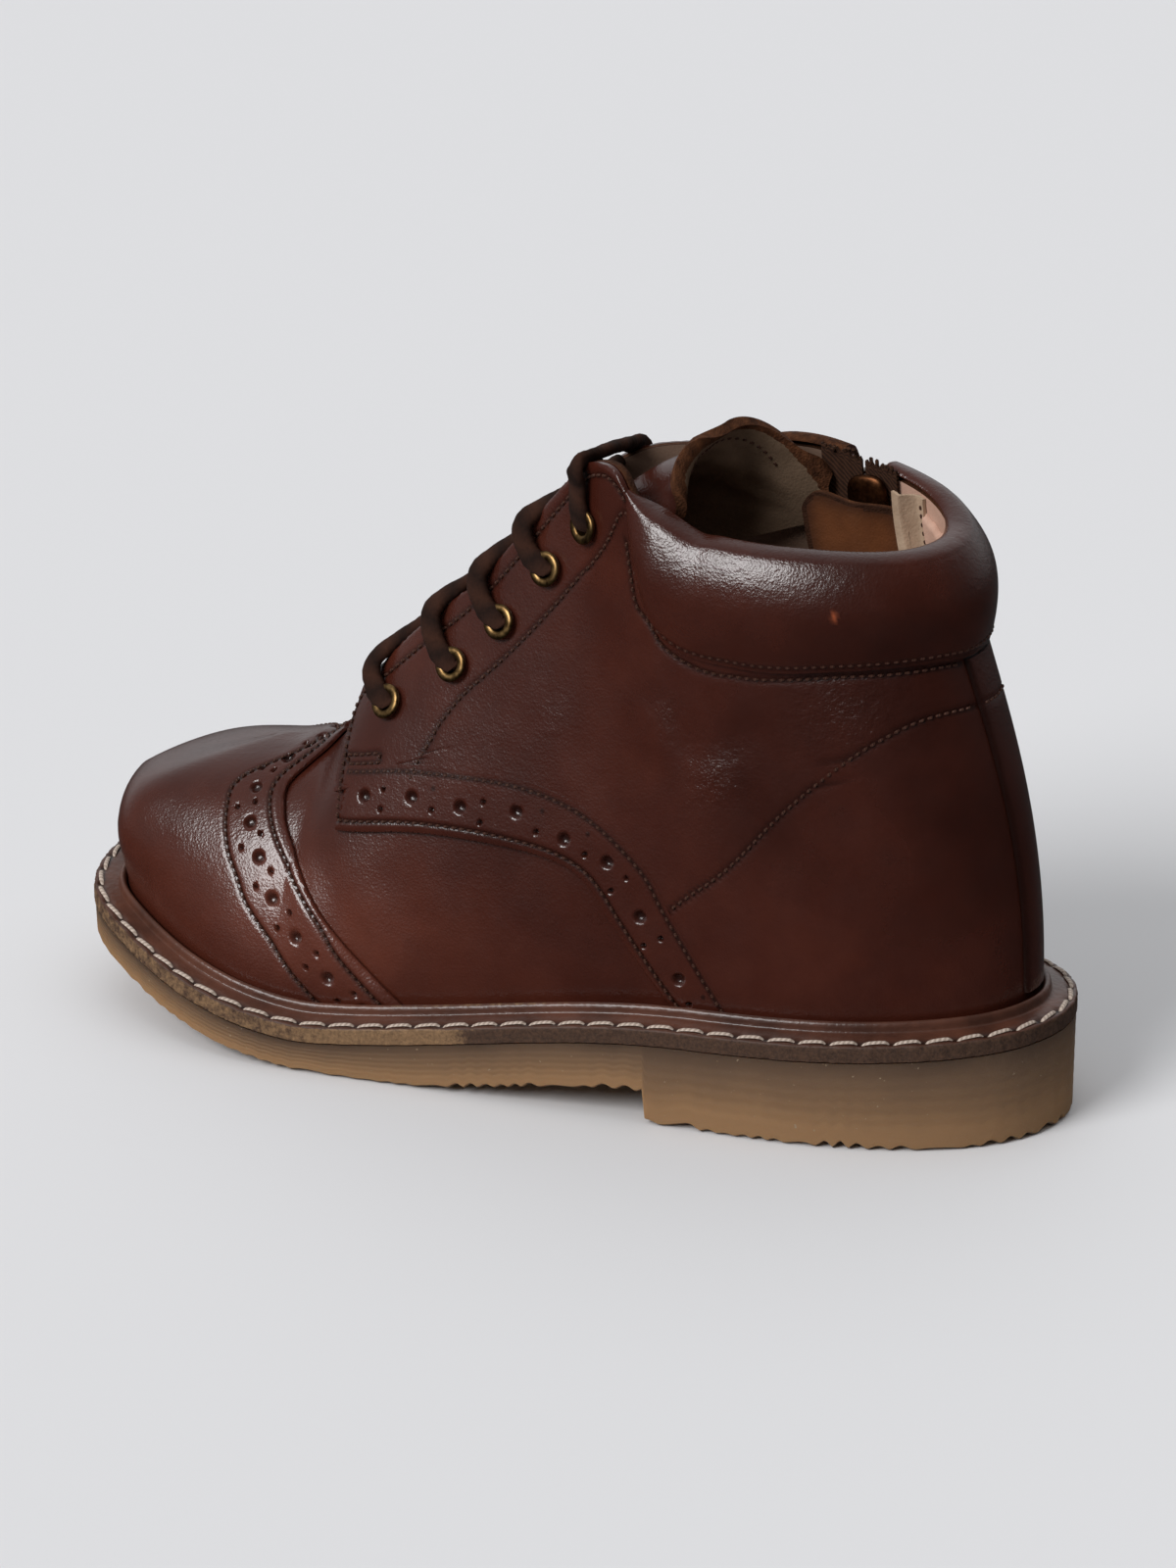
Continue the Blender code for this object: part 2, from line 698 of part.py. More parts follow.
def lace_crossing(name, from_medial, low, high, collection):
    """Strand out of one eyelet, over its facing edge and down beside the other edge, one eyelet higher."""
    shift = EDGE_SHARE * (high[0] - low[0])
    start = lace_stop(from_medial, *low, LACE_LIFT)
    leave = lace_stop(from_medial, low[0] + shift, 1.0, EDGE_LIFT)
    end = lace_stop(not from_medial, high[0] - shift, 1.0, 0.0)
    end = end * np.array([1.0, 0.0, 1.0]) + end * np.array([0.0, TUCK, 0.0])
    middle = (leave + end) / 2 + np.array([0.6, 0.0, 1.0]) * CROWN
    return cord(name, [start, leave, middle, end], collection)


def make_laces():
    """A crossing between each two pairs of eyelets, and a bar over the top pair."""
    for number, (low, high) in enumerate(zip(EYELETS[:-1], EYELETS[1:]), start=1):
        over = lace_crossing(f"lace_crossing_{number}", False, low, high, parts)
        under = lace_crossing(f"lace_other_{number}", True, low, high, cutters)
        join(over, under)
    stops = (EYELETS[-1], TAB_SIDE, TAB_TOP)
    lateral = [lace_stop(False, *stop, LACE_LIFT) for stop in stops]
    medial = [lace_stop(True, *stop, LACE_LIFT) for stop in stops[::-1]]
    middle = (lateral[-1] + medial[0]) / 2 + np.array([-1.0, 0.0, BAR_ARCH])
    route = lateral + [middle] + medial
    cord("lace_bar", route, parts)


def make_zip_tapes():
    """Two woven tapes behind the slit, standing a little above the rim."""
    heights = np.concatenate([[ZIP_FOOT - 0.04], np.linspace(ZIP_FOOT, 1.0, 7)])
    for name, near, far in (("zip_tape_front", 0.002, TAPE_HALF), ("zip_tape_rear", -TAPE_HALF, -0.002)):
        around = np.linspace(2.0 - ZIP_STATION - far, 2.0 - ZIP_STATION - near, 4)
        grid = layer_point(around[:, None], heights[None, :], -TAPE_DEPTH)
        rise = grid[:, -1] - grid[:, -2]
        rise = rise / np.linalg.norm(rise, axis=-1, keepdims=True)
        grid = np.concatenate([grid, (grid[:, -1] + TAPE_END * rise)[:, None]], 1)
        shell(name, grid, TAPE_THICKNESS, tape)


def zip_frame(height, offset):
    """Place on the zip's middle line, with its directions along, outward and across."""
    around = 2.0 - ZIP_STATION
    spot = layer_point(around, height, offset)
    out = upper_normal(around, height)
    up = upper_point(around, height + 0.01) - upper_point(around, height - 0.01)
    up /= np.linalg.norm(up)
    return spot, up, out, np.cross(out, up)


def make_zip_chain():
    """Closed chain in the slit, its edges notched tooth by tooth."""
    heights = np.linspace(ZIP_FOOT + 0.01, 0.985, 2 * TOOTH_COUNT + 1)
    loop = []
    for number, height in enumerate(heights):
        spot, up, out, across = zip_frame(height, CHAIN_LIFT - WALL)
        half = CHAIN_HALF - (TOOTH_NOTCH if number % 2 else 0.0)
        thick = CHAIN_THICKNESS - (0.5 * TOOTH_NOTCH if number % 2 else 0.0)
        loop.append([
            spot - half * across,
            spot + half * across,
            spot + half * across + thick * out,
            spot - half * across + thick * out,
        ])
    skin("zip_chain", np.array(loop), zip_metal, wrap_columns=True, capped=True)


def pull_pin():
    """Place of the pull tab's hinge on the slider, and the zip's directions there."""
    slider_top = GAP + CHAIN_LIFT + SLIDER_SIZE[1]
    return zip_frame(SLIDER_HEIGHT, slider_top + GAP + PIN_LIFT)


def zip_block(name, size, middle, directions):
    """Box with its sides across, outward and along the zip."""
    shape = bmesh.new()
    bmesh.ops.create_cube(shape, size=1.0)
    bmesh.ops.scale(shape, verts=shape.verts, vec=Vector(size) * MM)
    bmesh.ops.translate(shape, verts=shape.verts, vec=Vector(middle) * MM)
    mesh = bpy.data.meshes.new(name)
    shape.to_mesh(mesh)
    shape.free()
    mesh.transform(Matrix(directions).transposed().to_4x4())
    return mesh


def round_edges(made, width):
    """Small flat bevel on every edge."""
    bevel = made.modifiers.new("rounded", "BEVEL")
    bevel.width = width * MM
    bevel.segments = 1


def join(made, other):
    """Boolean union with a guide that isn't shown."""
    other.hide_render = True
    other.display_type = "WIRE"
    union = made.modifiers.new("joined", "BOOLEAN")
    union.operation = "UNION"
    union.solver = "EXACT"
    union.object = other


def make_slider():
    """Slider body on the chain, with two ears that hold the pull tab between them."""
    spot, up, out, across = zip_frame(SLIDER_HEIGHT, GAP + CHAIN_LIFT + SLIDER_SIZE[1] / 2)
    directions = (across, out, up)
    mesh = zip_block("zip_slider", SLIDER_SIZE, (0, 0, 0), directions)
    body = place("zip_slider", mesh, zip_metal, parts)
    body.location = Vector(spot) * MM
    round_edges(body, SLIDER_ROUND)
    foot = SLIDER_SIZE[1] / 2 - EAR_ROOT
    top = SLIDER_SIZE[1] / 2 + GAP + PIN_LIFT + PIN_RADIUS
    ear_size = (EAR_THICKNESS, top - foot, EAR_LENGTH)
    for side in (-1, 1):
        middle = (side * (PULL_WIDTH / 2 + GAP + EAR_THICKNESS / 2), (top + foot) / 2, 0)
        ear = place("zip_ear", zip_block("zip_ear", ear_size, middle, directions), zip_metal, cutters)
        ear.location = body.location
        join(body, ear)


def make_pull():
    """Pull tab hanging from the slider, its origin on the hinge's axis."""
    spot, up, out, across = pull_pin()
    middle = (0, 0, PIN_RADIUS - PULL_LENGTH / 2)
    mesh = zip_block("zip_pull", (PULL_WIDTH, PULL_THICKNESS, PULL_LENGTH), middle, (across, out, up))
    tab = place("zip_pull", mesh, zip_metal, parts)
    tab.location = Vector(spot) * MM
    round_edges(tab, PULL_ROUND)


def make_zip_flap():
    """Leather guard between the zip and the foot: rounded top, rear edge at the tape, front edge free."""
    stations = ZIP_STATION + np.linspace(*FLAP_STATIONS, 7)
    leave = ease(np.linspace(0, 1, 7) / FLAP_SEWN)
    depth = FLAP_ROOT + (FLAP_DEPTH - FLAP_ROOT) * leave
    share = np.linspace(0, 1, 8)
    bend = (np.linspace(-1, 1, 7) ** 4)[:, None]
    heights = FLAP_FOOT + share[None, :] * (FLAP_TALL - FLAP_ROUND * bend)
    around = np.repeat((2.0 - stations[::-1])[:, None], len(share), 1)
    grid = layer_point(around, heights, -depth[::-1, None, None])
    shell("zip_guard_flap", grid, FLAP_THICKNESS, lining_leather)


for leftover in list(bpy.data.objects):
    bpy.data.objects.remove(leftover)

parts = bpy.data.collections.new("brogue_ankle_boot")
cutters = bpy.data.collections.new("cutters")
bpy.context.scene.collection.children.link(parts)
bpy.context.scene.collection.children.link(cutters)
boot = bpy.data.objects.new("boot_centre", None)
boot.location = (0.0, -CENTRE_Y * MM, 0.0)
parts.objects.link(boot)

leather = material("red-brown leather", (0.080, 0.020, 0.012), 0.35)
welt_leather = material("dark welt leather", (0.055, 0.018, 0.010), 0.45)
tongue_leather = material("brown tongue leather", (0.060, 0.020, 0.012), 0.55)
lining_leather = material("tan flap leather", (0.110, 0.035, 0.015), 0.55)
lining = material("taupe lining", (0.300, 0.220, 0.160), 0.70)
rubber = material("gum rubber", (0.230, 0.140, 0.070), 0.45)
brass = material("antique brass", (0.300, 0.190, 0.080), 0.40, 0.9)
lace_cotton = material("dark lace", (0.030, 0.014, 0.008), 0.85)
tape = material("zip tape", (0.035, 0.016, 0.010), 0.85)
zip_metal = material("zip metal", (0.250, 0.220, 0.180), 0.40, 0.9)

make_outsole()
make_welt()
make_insole()
make_upper()
make_toe_cap()
make_quarter("quarter_lateral", False)
make_quarter("quarter_medial", True)
make_back_strip()
make_collar()
make_tongue()
make_eyelets()
make_laces()
make_zip_tapes()
make_zip_chain()
make_slider()
make_pull()
make_zip_flap()
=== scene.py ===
# Brogue ankle boot, dressed: leather panels, seams, brogue holes, lace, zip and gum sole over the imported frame.
import bpy
import numpy as np
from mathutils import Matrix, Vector


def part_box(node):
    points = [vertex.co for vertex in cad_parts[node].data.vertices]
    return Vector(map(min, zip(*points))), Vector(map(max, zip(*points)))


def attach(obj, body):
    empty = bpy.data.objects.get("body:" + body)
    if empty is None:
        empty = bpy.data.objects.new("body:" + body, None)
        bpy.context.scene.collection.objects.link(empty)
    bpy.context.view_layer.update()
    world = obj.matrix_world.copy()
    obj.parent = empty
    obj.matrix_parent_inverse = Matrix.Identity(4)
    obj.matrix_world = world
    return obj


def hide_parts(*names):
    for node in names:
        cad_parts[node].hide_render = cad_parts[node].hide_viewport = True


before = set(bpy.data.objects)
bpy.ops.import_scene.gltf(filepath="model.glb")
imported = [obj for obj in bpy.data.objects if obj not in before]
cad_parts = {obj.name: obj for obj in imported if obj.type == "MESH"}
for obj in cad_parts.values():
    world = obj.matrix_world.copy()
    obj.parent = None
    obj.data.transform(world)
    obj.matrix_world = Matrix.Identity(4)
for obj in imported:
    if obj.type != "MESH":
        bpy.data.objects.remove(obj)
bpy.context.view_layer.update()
mm = 0.001
weltLow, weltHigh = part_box("welt")
chance = np.random.default_rng(28)
sideNames = ("lateral", "medial")
sharpFrom = 50.0  # degrees between faces

# The last: the boot's own shape, in millimetres from the heel-to-toe line. shiftY brings it to the frame.
last = {
    "length": (weltHigh.x - weltLow.x) / mm,
    "shiftY": -1.71,
    "heelLedge": 19.2, "heelPitch": 3.0, "ballLedge": 9.4, "dropStart": -34.7, "dropRun": 81.0,
    "springStart": 38.6, "springPower": 1.6, "toeRise": 14.5,
    "breastX": -27.0, "breastHeight": 6.0, "archRun": 52.0, "treadRise": 14.4,
    "featherInset": 8.8, "seat": 3.2, "throat": 0.67,
    "wall": 1.6, "panelTop": 1.6, "panel": 1.2, "gap": 0.3,
}
# Once round the sole from heel (0) by the lateral side to the toe (1) and back by the medial side (2)
outline = {
    "around": [0.00, 0.14, 0.28, 0.42, 0.56, 0.70, 0.82, 0.92, 1.00,
               1.08, 1.18, 1.30, 1.44, 1.58, 1.72, 1.86, 2.00],
    "side": [0.0, 18.5, 30.5, 34.5, 37.2, 38.8, 29.3, 17.8, 0.0,
             -18.2, -31.0, -36.0, -31.5, -28.5, -29.0, -18.5, 0.0],
}
# Sections of the upper: where each meets the top line, and how it leaves the top line and the feather line
sections = {
    "station": [0.00, 0.10, 0.20, 0.30, 0.35, 0.365, 0.38, 0.40, 0.43, 0.50, 0.57, 0.63, 0.67, 0.76, 0.88, 1.00],
    "topX": [-71.0, -67.0, -55.0, -36.0, -22.7, -18.7, -14.8, -9.5, -3.5, 14.0, 31.0, 42.0, 47.0, 53.0, 60.0, 64.0],
    "topHalf": [0.0, 11.5, 18.0, 20.0, 18.5, 17.4, 15.8, 13.0, 9.0, 8.5, 8.5, 7.0, 0.0, 0.0, 0.0, 0.0],
    "topZ": [106.5, 106.7, 107.0, 107.5, 108.4, 111.5, 117.2, 118.0, 113.5, 92.5, 76.0, 62.0, 54.0, 50.8, 47.9,
             46.4],
    "fall": [0.0, 0.0, 0.0, 0.0, 0.0, 0.0, 0.0, 0.0, 0.0, 0.0, 0.0, 0.0, -0.28, -0.27, -0.28, -0.30],
    "slope": [86, 86, 86, 85, 80, 77, 73, 68, 62, 55, 45, 30, 0, 0, 0, 0],
    "hold": [20, 20, 24, 28, 28, 28, 27, 26, 26, 24, 20, 16, 16, 20, 29, 35],
    "flare": [2, 2, 2, 2, 2, 2, 2, 2, 2, 3, 4, 5, 6, 7, 7, 7],
    "rise": [46, 46, 42, 32, 27, 26, 24, 23, 21, 19, 17, 16, 16, 18, 22, 25],
}
# The medial top line stands higher beside the zip and lower at the facing
medialRise = {
    "station": [0.00, 0.05, 0.10, 0.16, 0.20, 0.24, 0.30, 0.35, 0.365, 0.38, 0.40, 0.43, 0.50, 0.60, 1.00],
    "rise": [0.0, 0.3, 1.5, 3.5, 4.6, 5.5, 7.2, 5.4, 2.1, -3.7, -4.8, -2.5, 0.0, 0.0, 0.0],
}


# Smooth curve through knots: cubic pieces whose slopes come from the neighbouring rows
def curveThrough(knots, values, at, period=None):
    knots = np.asarray(knots, float)
    values = np.asarray(values, float)
    at = np.asarray(at, float)
    if period is None:
        slopes = np.gradient(values, knots, axis=0)
    else:
        longKnots = np.concatenate([[knots[-2] - period], knots, [knots[1] + period]])
        longValues = np.concatenate([values[-2:-1], values, values[1:2]])
        slopes = np.gradient(longValues, longKnots, axis=0)[1:-1]
    low = np.clip(np.searchsorted(knots, at, side="right") - 1, 0, len(knots) - 2)
    width = knots[low + 1] - knots[low]
    s = (at - knots[low]) / width
    if values.ndim > 1:
        s = s[..., None]
        width = width[..., None]
    start = values[low] * (1 + 2 * s) * (1 - s) ** 2 + width * slopes[low] * s * (1 - s) ** 2
    end = values[low + 1] * s * s * (3 - 2 * s) + width * slopes[low + 1] * s * s * (s - 1)
    return start + end


def ease(s):
    s = np.clip(s, 0, 1)
    return s * s * (3 - 2 * s)


def unit(vectors):
    return vectors / np.maximum(np.linalg.norm(vectors, axis=-1, keepdims=True), 1e-9)


# Way from the heel, 0 to 1, of a place round the boot
def stationOf(around):
    return np.where(around <= 1, around, 2 - around)


# Distance along a line of points from its start
def runAlong(points):
    return np.concatenate([[0], np.cumsum(np.linalg.norm(np.diff(points, axis=0), axis=1))])


# Points that meet: the first of each, and which of those every point is
def welded(points):
    _, first, back = np.unique(np.round(points, 3), axis=0, return_index=True, return_inverse=True)
    return first, back.reshape(-1)


# Share of the toe's rise: none behind the ball, all at the tip
def toeSpring(x):
    run = last["length"] / 2 - last["springStart"]
    return np.clip((x - last["springStart"]) / run, 0, 1) ** last["springPower"]


# Height of the welt's edge: pitched heel, drop through the arch, ball, toe spring
def ledgeHeight(x):
    arch = ease((x - last["dropStart"]) / last["dropRun"])
    pitch = np.clip((last["breastX"] - x) / (0.5 * last["length"] + last["breastX"]), 0, 1) ** 1.5
    drop = (last["ballLedge"] - last["heelLedge"]) * arch
    return last["heelLedge"] + last["heelPitch"] * pitch + drop + last["toeRise"] * toeSpring(x)


# Height of the tread: flat heel, raised arch behind the ball, toe spring
def treadHeight(x):
    arch = last["breastHeight"] * (1 - ease((x - last["breastX"]) / last["archRun"]))
    return np.where(x < last["breastX"], 0.0, arch + last["treadRise"] * toeSpring(x))


def outlinePoint(around):
    around = np.mod(around, 2.0)
    x = -last["length"] / 2 * np.cos(np.pi * around)
    return np.stack([x, curveThrough(outline["around"], outline["side"], around, 2.0)], -1)


def outlineNormal(around):
    along = unit(outlinePoint(around + 0.001) - outlinePoint(around - 0.001))
    return np.stack([-along[..., 1], along[..., 0]], -1)


# Point inside the outline, at a height over the welt's edge
def insetPoint(around, inset, height):
    around, inset, height = np.broadcast_arrays(around, inset, height)
    flat = outlinePoint(around) - inset[..., None] * outlineNormal(around)
    return np.concatenate([flat, (ledgeHeight(flat[..., 0]) + height)[..., None]], -1)


# One value of the sections; a mirrored row behind the heel keeps the back smooth
def sectionAt(name, station):
    mirrored = -sections[name][1] if name == "topHalf" else sections[name][1]
    return curveThrough([-sections["station"][1]] + sections["station"], [mirrored] + sections[name], station)


# Outer face of the upper: a cubic section from the feather line (height 0) to the top line (height 1)
def sectionPoint(around, height):
    around, height = np.broadcast_arrays(np.mod(around, 2.0), np.asarray(height, float))
    lateral = around <= 1.0
    station = stationOf(around)
    foot = insetPoint(around, last["featherInset"], -last["seat"])
    half = np.where(station < last["throat"], np.maximum(sectionAt("topHalf", station), 0.0), 0.0)
    rise = np.where(lateral, 0.0, curveThrough(medialRise["station"], medialRise["rise"], station))
    top = np.stack([sectionAt("topX", station), np.where(lateral, half, -half), sectionAt("topZ", station) + rise],
                   -1)
    outward = unit(foot[..., :2] - top[..., :2])
    slope = np.radians(sectionAt("slope", station))
    drop = np.cos(slope) * outward[..., 0] * sectionAt("fall", station) - np.sin(slope)
    leaveTop = np.concatenate([outward * np.cos(slope)[..., None], drop[..., None]], -1)
    flare = np.radians(sectionAt("flare", station))
    leaveFoot = np.concatenate([outlineNormal(around) * np.sin(flare)[..., None], np.cos(flare)[..., None]], -1)
    low = foot + sectionAt("rise", station)[..., None] * leaveFoot
    high = top + sectionAt("hold", station)[..., None] * leaveTop
    s = height[..., None]
    return (1 - s) ** 3 * foot + 3 * (1 - s) ** 2 * s * low + 3 * (1 - s) * s * s * high + s ** 3 * top


# The toe: its shoulder is drawn towards the mean of neighbours along the section,
# and the whole swells from a middle
toe = {
    "softReach": 0.12, "soften": 0.25, "softFrom": 0.66, "softRun": 0.14, "middle": np.array([58.0, -3.0, 26.0]),
    "swell": 1.5, "swellFrom": 0.74, "swellRun": 0.18, "swellLow": 23.0, "swellRise": 10.0,
}


def upperPoint(around, height):
    around, height = np.broadcast_arrays(np.mod(around, 2.0), np.asarray(height, float))
    station = stationOf(around)
    base = sectionPoint(around, height)
    reach = np.clip(np.minimum(height, 1 - height), 0, toe["softReach"])
    spread = (sectionPoint(around, height - reach) + sectionPoint(around, height + reach)) / 2
    soften = toe["soften"] * ease((station - toe["softFrom"]) / toe["softRun"])
    point = base + soften[..., None] * (spread - base)
    swell = toe["swell"] * ease((station - toe["swellFrom"]) / toe["swellRun"])
    swell = swell * ease((point[..., 2] - toe["swellLow"]) / toe["swellRise"])
    return point + swell[..., None] * unit(point - toe["middle"])


# Outward direction of the upper; along the ridge it is square to the ridge line
def upperNormal(around, height):
    around, height = np.broadcast_arrays(np.mod(around, 2.0), np.asarray(height, float))
    station = stationOf(around)
    step = 0.002
    inside = np.clip(height, step, 1.0 - step)
    along = upperPoint(around + step, inside) - upperPoint(around - step, inside)
    out = unit(np.cross(upperPoint(around, inside + step) - upperPoint(around, inside - step), along))
    ridge = unit(np.stack([-sectionAt("fall", station), np.zeros_like(station), np.ones_like(station)], -1))
    onRidge = (station >= last["throat"]) & (height > 1.0 - step)
    return np.where(onRidge[..., None], ridge, out)


def layerPoint(around, height, offset):
    around, height, offset = np.broadcast_arrays(around, height, offset)
    return upperPoint(around, height) + offset[..., None] * upperNormal(around, height)


# Distance from each point to the closest point of a line, a block of points at a time
def nearest(points, line, block=6000):
    flat = points.reshape(-1, 3)
    found = np.empty(len(flat))
    for start in range(0, len(flat), block):
        here = flat[start:start + block]
        square = (here ** 2).sum(1)[:, None] + (line ** 2).sum(1)[None, :] - 2 * here @ line.T
        found[start:start + block] = np.sqrt(np.maximum(square.min(1), 0))
    return found.reshape(points.shape[:-1])


def gridQuads(rows, cols, wrapRows=False, wrapCols=False):
    r, c = np.meshgrid(np.arange(rows - (not wrapRows)), np.arange(cols - (not wrapCols)), indexing="ij")
    nextR = (r + 1) % rows
    nextC = (c + 1) % cols
    return np.stack([r * cols + c, r * cols + nextC, nextR * cols + nextC, nextR * cols + c], -1).reshape(-1, 4)


# Closed leaf of leather: points that meet are welded, and the open border is walled between outer and inner face
def closedLeaf(outer, inner, quads):
    flatOuter = outer.reshape(-1, 3)
    flatInner = inner.reshape(-1, 3)
    first, back = welded(flatOuter)
    quads = back[quads]
    count = len(first)
    top = flatOuter[first]
    under = flatInner[first]
    diagonal = np.cross(top[quads[:, 2]] - top[quads[:, 0]], top[quads[:, 3]] - top[quads[:, 1]])
    if (diagonal * (top - under)[quads[:, 0]]).sum() < 0:
        quads = quads[:, ::-1]
    a = quads.reshape(-1)
    b = np.roll(quads, -1, axis=1).reshape(-1)
    border = ~np.isin(a * count + b, b * count + a) & (a != b)
    rim = np.stack([b[border], a[border], a[border] + count, b[border] + count], -1)
    faces = np.concatenate([quads, quads[:, ::-1] + count, rim])
    kind = np.repeat([0, 1, 2], [len(quads), len(quads), len(rim)])
    return {"points": np.concatenate([top, under]), "faces": faces, "kind": kind, "first": first}


# Values of a leaf's grid for its points, the same on both faces
def bothFaces(leaf, values):
    return np.tile(values.reshape(-1)[leaf["first"]], 2)


# Tube or bead: rings of points along a path, with both ends closed
def tubeFaces(rings, sides):
    body = gridQuads(rings, sides, wrapCols=True)
    order = np.arange(sides)
    lid = np.stack([np.zeros(sides // 2 - 1, int), order[1:-2:2], order[2:-1:2], order[3::2]], -1)
    return np.concatenate([body, lid[:, ::-1], lid + (rings - 1) * sides])


def joined(parts):
    points = []
    faces = []
    count = 0
    for partPoints, partFaces in parts:
        points.append(partPoints.reshape(-1, 3))
        faces.append(partFaces + count)
        count += len(points[-1])
    return np.concatenate(points), np.concatenate(faces)


def toFrame(points):
    return (points + np.array([0.0, last["shiftY"], 0.0])) * mm


# Tone of the leather over the boot, partly its own burnishing and partly painted light: lighter vamp, cap
# and low quarter (painted light of the toe-side key and painted floor bounce), darker heel and top
# (painted shade away from the key), as (amount, x, z, reach x, reach z)
burnishAndPaintedLight = [(0.46, 40.0, 26.0, 26.0, 14.0), (0.10, 80.0, 28.0, 22.0, 14.0), (-0.14, -80.0, 70.0, 34.0, 40.0),
           (0.10, -40.0, 26.0, 40.0, 9.0)]


def burnishAndLightAt(points):
    x, z = points[:, 0], points[:, 2]
    return sum(amount * np.exp(-((x - atX) / reachX) ** 2 - ((z - atZ) / reachZ) ** 2)
               for amount, atX, atZ, reachX, reachZ in burnishAndPaintedLight)


def linked(name, data):
    made = bpy.data.objects.new(name, data)
    bpy.context.scene.collection.objects.link(made)
    return made


# Mesh object in the frame: degenerate corners dropped, marks stored as attributes, piece tied to its body
def makePiece(name, points, faces, finishes, replaced=(), body="boot", kind=None, marks=None):
    corners = faces.tolist()
    short = (faces == np.roll(faces, 1, axis=1)).any(1)
    for number in np.flatnonzero(short):
        corners[number] = list(dict.fromkeys(corners[number]))
    keep = [number for number, face in enumerate(corners) if len(set(face)) > 2]
    mesh = bpy.data.meshes.new(name)
    mesh.from_pydata(toFrame(points).tolist(), [], [corners[number] for number in keep])
    for finish in finishes:
        mesh.materials.append(finish)
    if kind is not None:
        mesh.polygons.foreach_set("material_index", np.asarray(kind)[keep].astype(np.int32))
    # Every piece gets the tone mark: the leather's burnishing together with painted light and shade
    for markName, values in {**(marks or {}), "tone": burnishAndLightAt(points)}.items():
        mark = mesh.attributes.new(markName, "FLOAT", "POINT")
        mark.data.foreach_set("value", np.asarray(values, np.float32))
    mesh.validate()
    mesh.shade_smooth()
    mesh.set_sharp_from_angle(angle=np.radians(sharpFrom))
    made = linked(name, mesh)
    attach(made, body)
    if replaced:
        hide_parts(*replaced)
    return made


# Leaf as a piece: finishes of its outer face, inner face and border, or one for all
def makeLeaf(name, leaf, finishes, slot, replaced=(), kind=None, **marks):
    if kind is None and len(finishes) > 1:
        kind = leaf["kind"]
    return makePiece(name, leaf["points"], leaf["faces"], finishes, replaced, kind=kind, marks=marks)


# Seam line through (station, height) rows on one side of the upper, with points at an even pitch
def seamLine(rows, medial=False, offset=0.0, step=0.35):
    rows = np.array(rows, float)
    rough = np.linspace(0, len(rows) - 1, 40 * len(rows))
    path = curveThrough(np.arange(len(rows)), rows, rough)
    around = 2 - path[:, 0] if medial else path[:, 0]
    return evenLine(around, np.clip(path[:, 1], 0, 1), offset, step)


def evenLine(around, height, offset=0.0, step=0.35):
    points = layerPoint(around, height, offset)
    run = runAlong(points)
    even = np.arange(0, run[-1], step)
    around = np.interp(even, run, around)
    height = np.interp(even, run, height)
    return {"around": around, "height": height, "run": even, "points": layerPoint(around, height, offset)}


# Thread of the upper's seams, in millimetres
thread = {"pitch": 1.62, "length": 1.16, "radius": 0.27, "flat": 0.9, "lift": 0.04, "sink": 0.32, "slant": 0.06,
          "sides": 6, "rings": 5, "lay": 1.6}


# Row of stitches along a path with its outward directions, at an even pitch
def beadsAlong(points, normals, look=thread):
    run = runAlong(points)
    centre = np.arange(0.6 * look["pitch"], run[-1] - 0.4 * look["pitch"], look["pitch"])
    u = np.linspace(-1, 1, look["rings"])
    along = centre[:, None] + u[None, :] * look["length"] / 2
    base = np.stack([np.interp(along, run, points[:, axis]) for axis in range(3)], -1)
    normal = np.stack([np.interp(along, run, normals[:, axis]) for axis in range(3)], -1)
    return threadBeads(base, unit(normal), u, look)


# Beads of thread round the given middle lines: each rises out of the leather, lies along the seam and dives back in
def threadBeads(base, normal, u, look):
    sides = look["sides"]
    tangent = unit(np.gradient(base, axis=1))
    side = np.cross(normal, tangent)
    rise = look["lift"] * (1 - u ** 4) - look["sink"] * u ** 4
    base = base + normal * rise[None, :, None] + side * (look["slant"] * u)[None, :, None]
    turn = np.linspace(0, 2 * np.pi, sides, endpoint=False)
    radius = look["radius"] * np.sqrt(np.maximum(1 - 0.8 * u ** 4, 0.05))
    ring = np.cos(turn)[:, None] * side[:, :, None, :]
    ring = ring + look["flat"] * np.sin(turn)[:, None] * normal[:, :, None, :]
    points = base[:, :, None, :] + radius[None, :, None, None] * ring
    faces = tubeFaces(len(u), sides)
    stride = len(u) * sides
    every = (faces[None] + stride * np.arange(len(base))[:, None, None]).reshape(-1, 4)
    return points.reshape(-1, 3), every


# Punched holes: a bowl with a soft lip, deepest at its middle
def punched(points, centres, radii, depth, lip=0.015):
    relief = np.zeros(points.shape[:-1])
    for centre, radius in zip(centres, radii):
        away = np.linalg.norm(points - centre, axis=-1)
        pit = ease((radius + 0.12 - away) / (0.75 * radius))
        relief = np.minimum(relief, -depth * pit) + lip * np.exp(-((away - radius - 0.35) / 0.28) ** 2)
    return relief


# Folded edge: the face rolls down over a quarter circle close to the border
def rolledEdge(distance, radius):
    inside = np.clip(1 - distance / radius, 0, 1)
    return -radius * (1 - np.sqrt(np.maximum(1 - inside ** 2, 0)))


# Overlay's edge: folded, and pressed down beside the fold
def foldedEdge(distance):
    return rolledEdge(distance, 0.45) - 0.4 * np.exp(-(distance / 1.1) ** 2)


def groove(distance, depth, width):
    return -depth * np.exp(-(distance / width) ** 2)


print("last and helpers ready")


# Finishes
def newFinish(name):
    finish = bpy.data.materials.new(name)
    finish.use_nodes = True
    return finish, finish.node_tree, finish.node_tree.nodes["Principled BSDF"]


def textureOf(tree, kind, output, **inputs):
    spot = tree.nodes.new("ShaderNodeTexCoord")
    made = tree.nodes.new(kind)
    tree.links.new(spot.outputs["Object"], made.inputs["Vector"])
    for key, value in inputs.items():
        made.inputs[key].default_value = value
    return made.outputs[output]


def noiseOf(tree, scale, detail=3.0, rough=0.5):
    return textureOf(tree, "ShaderNodeTexNoise", "Fac", Scale=scale, Detail=detail, Roughness=rough)


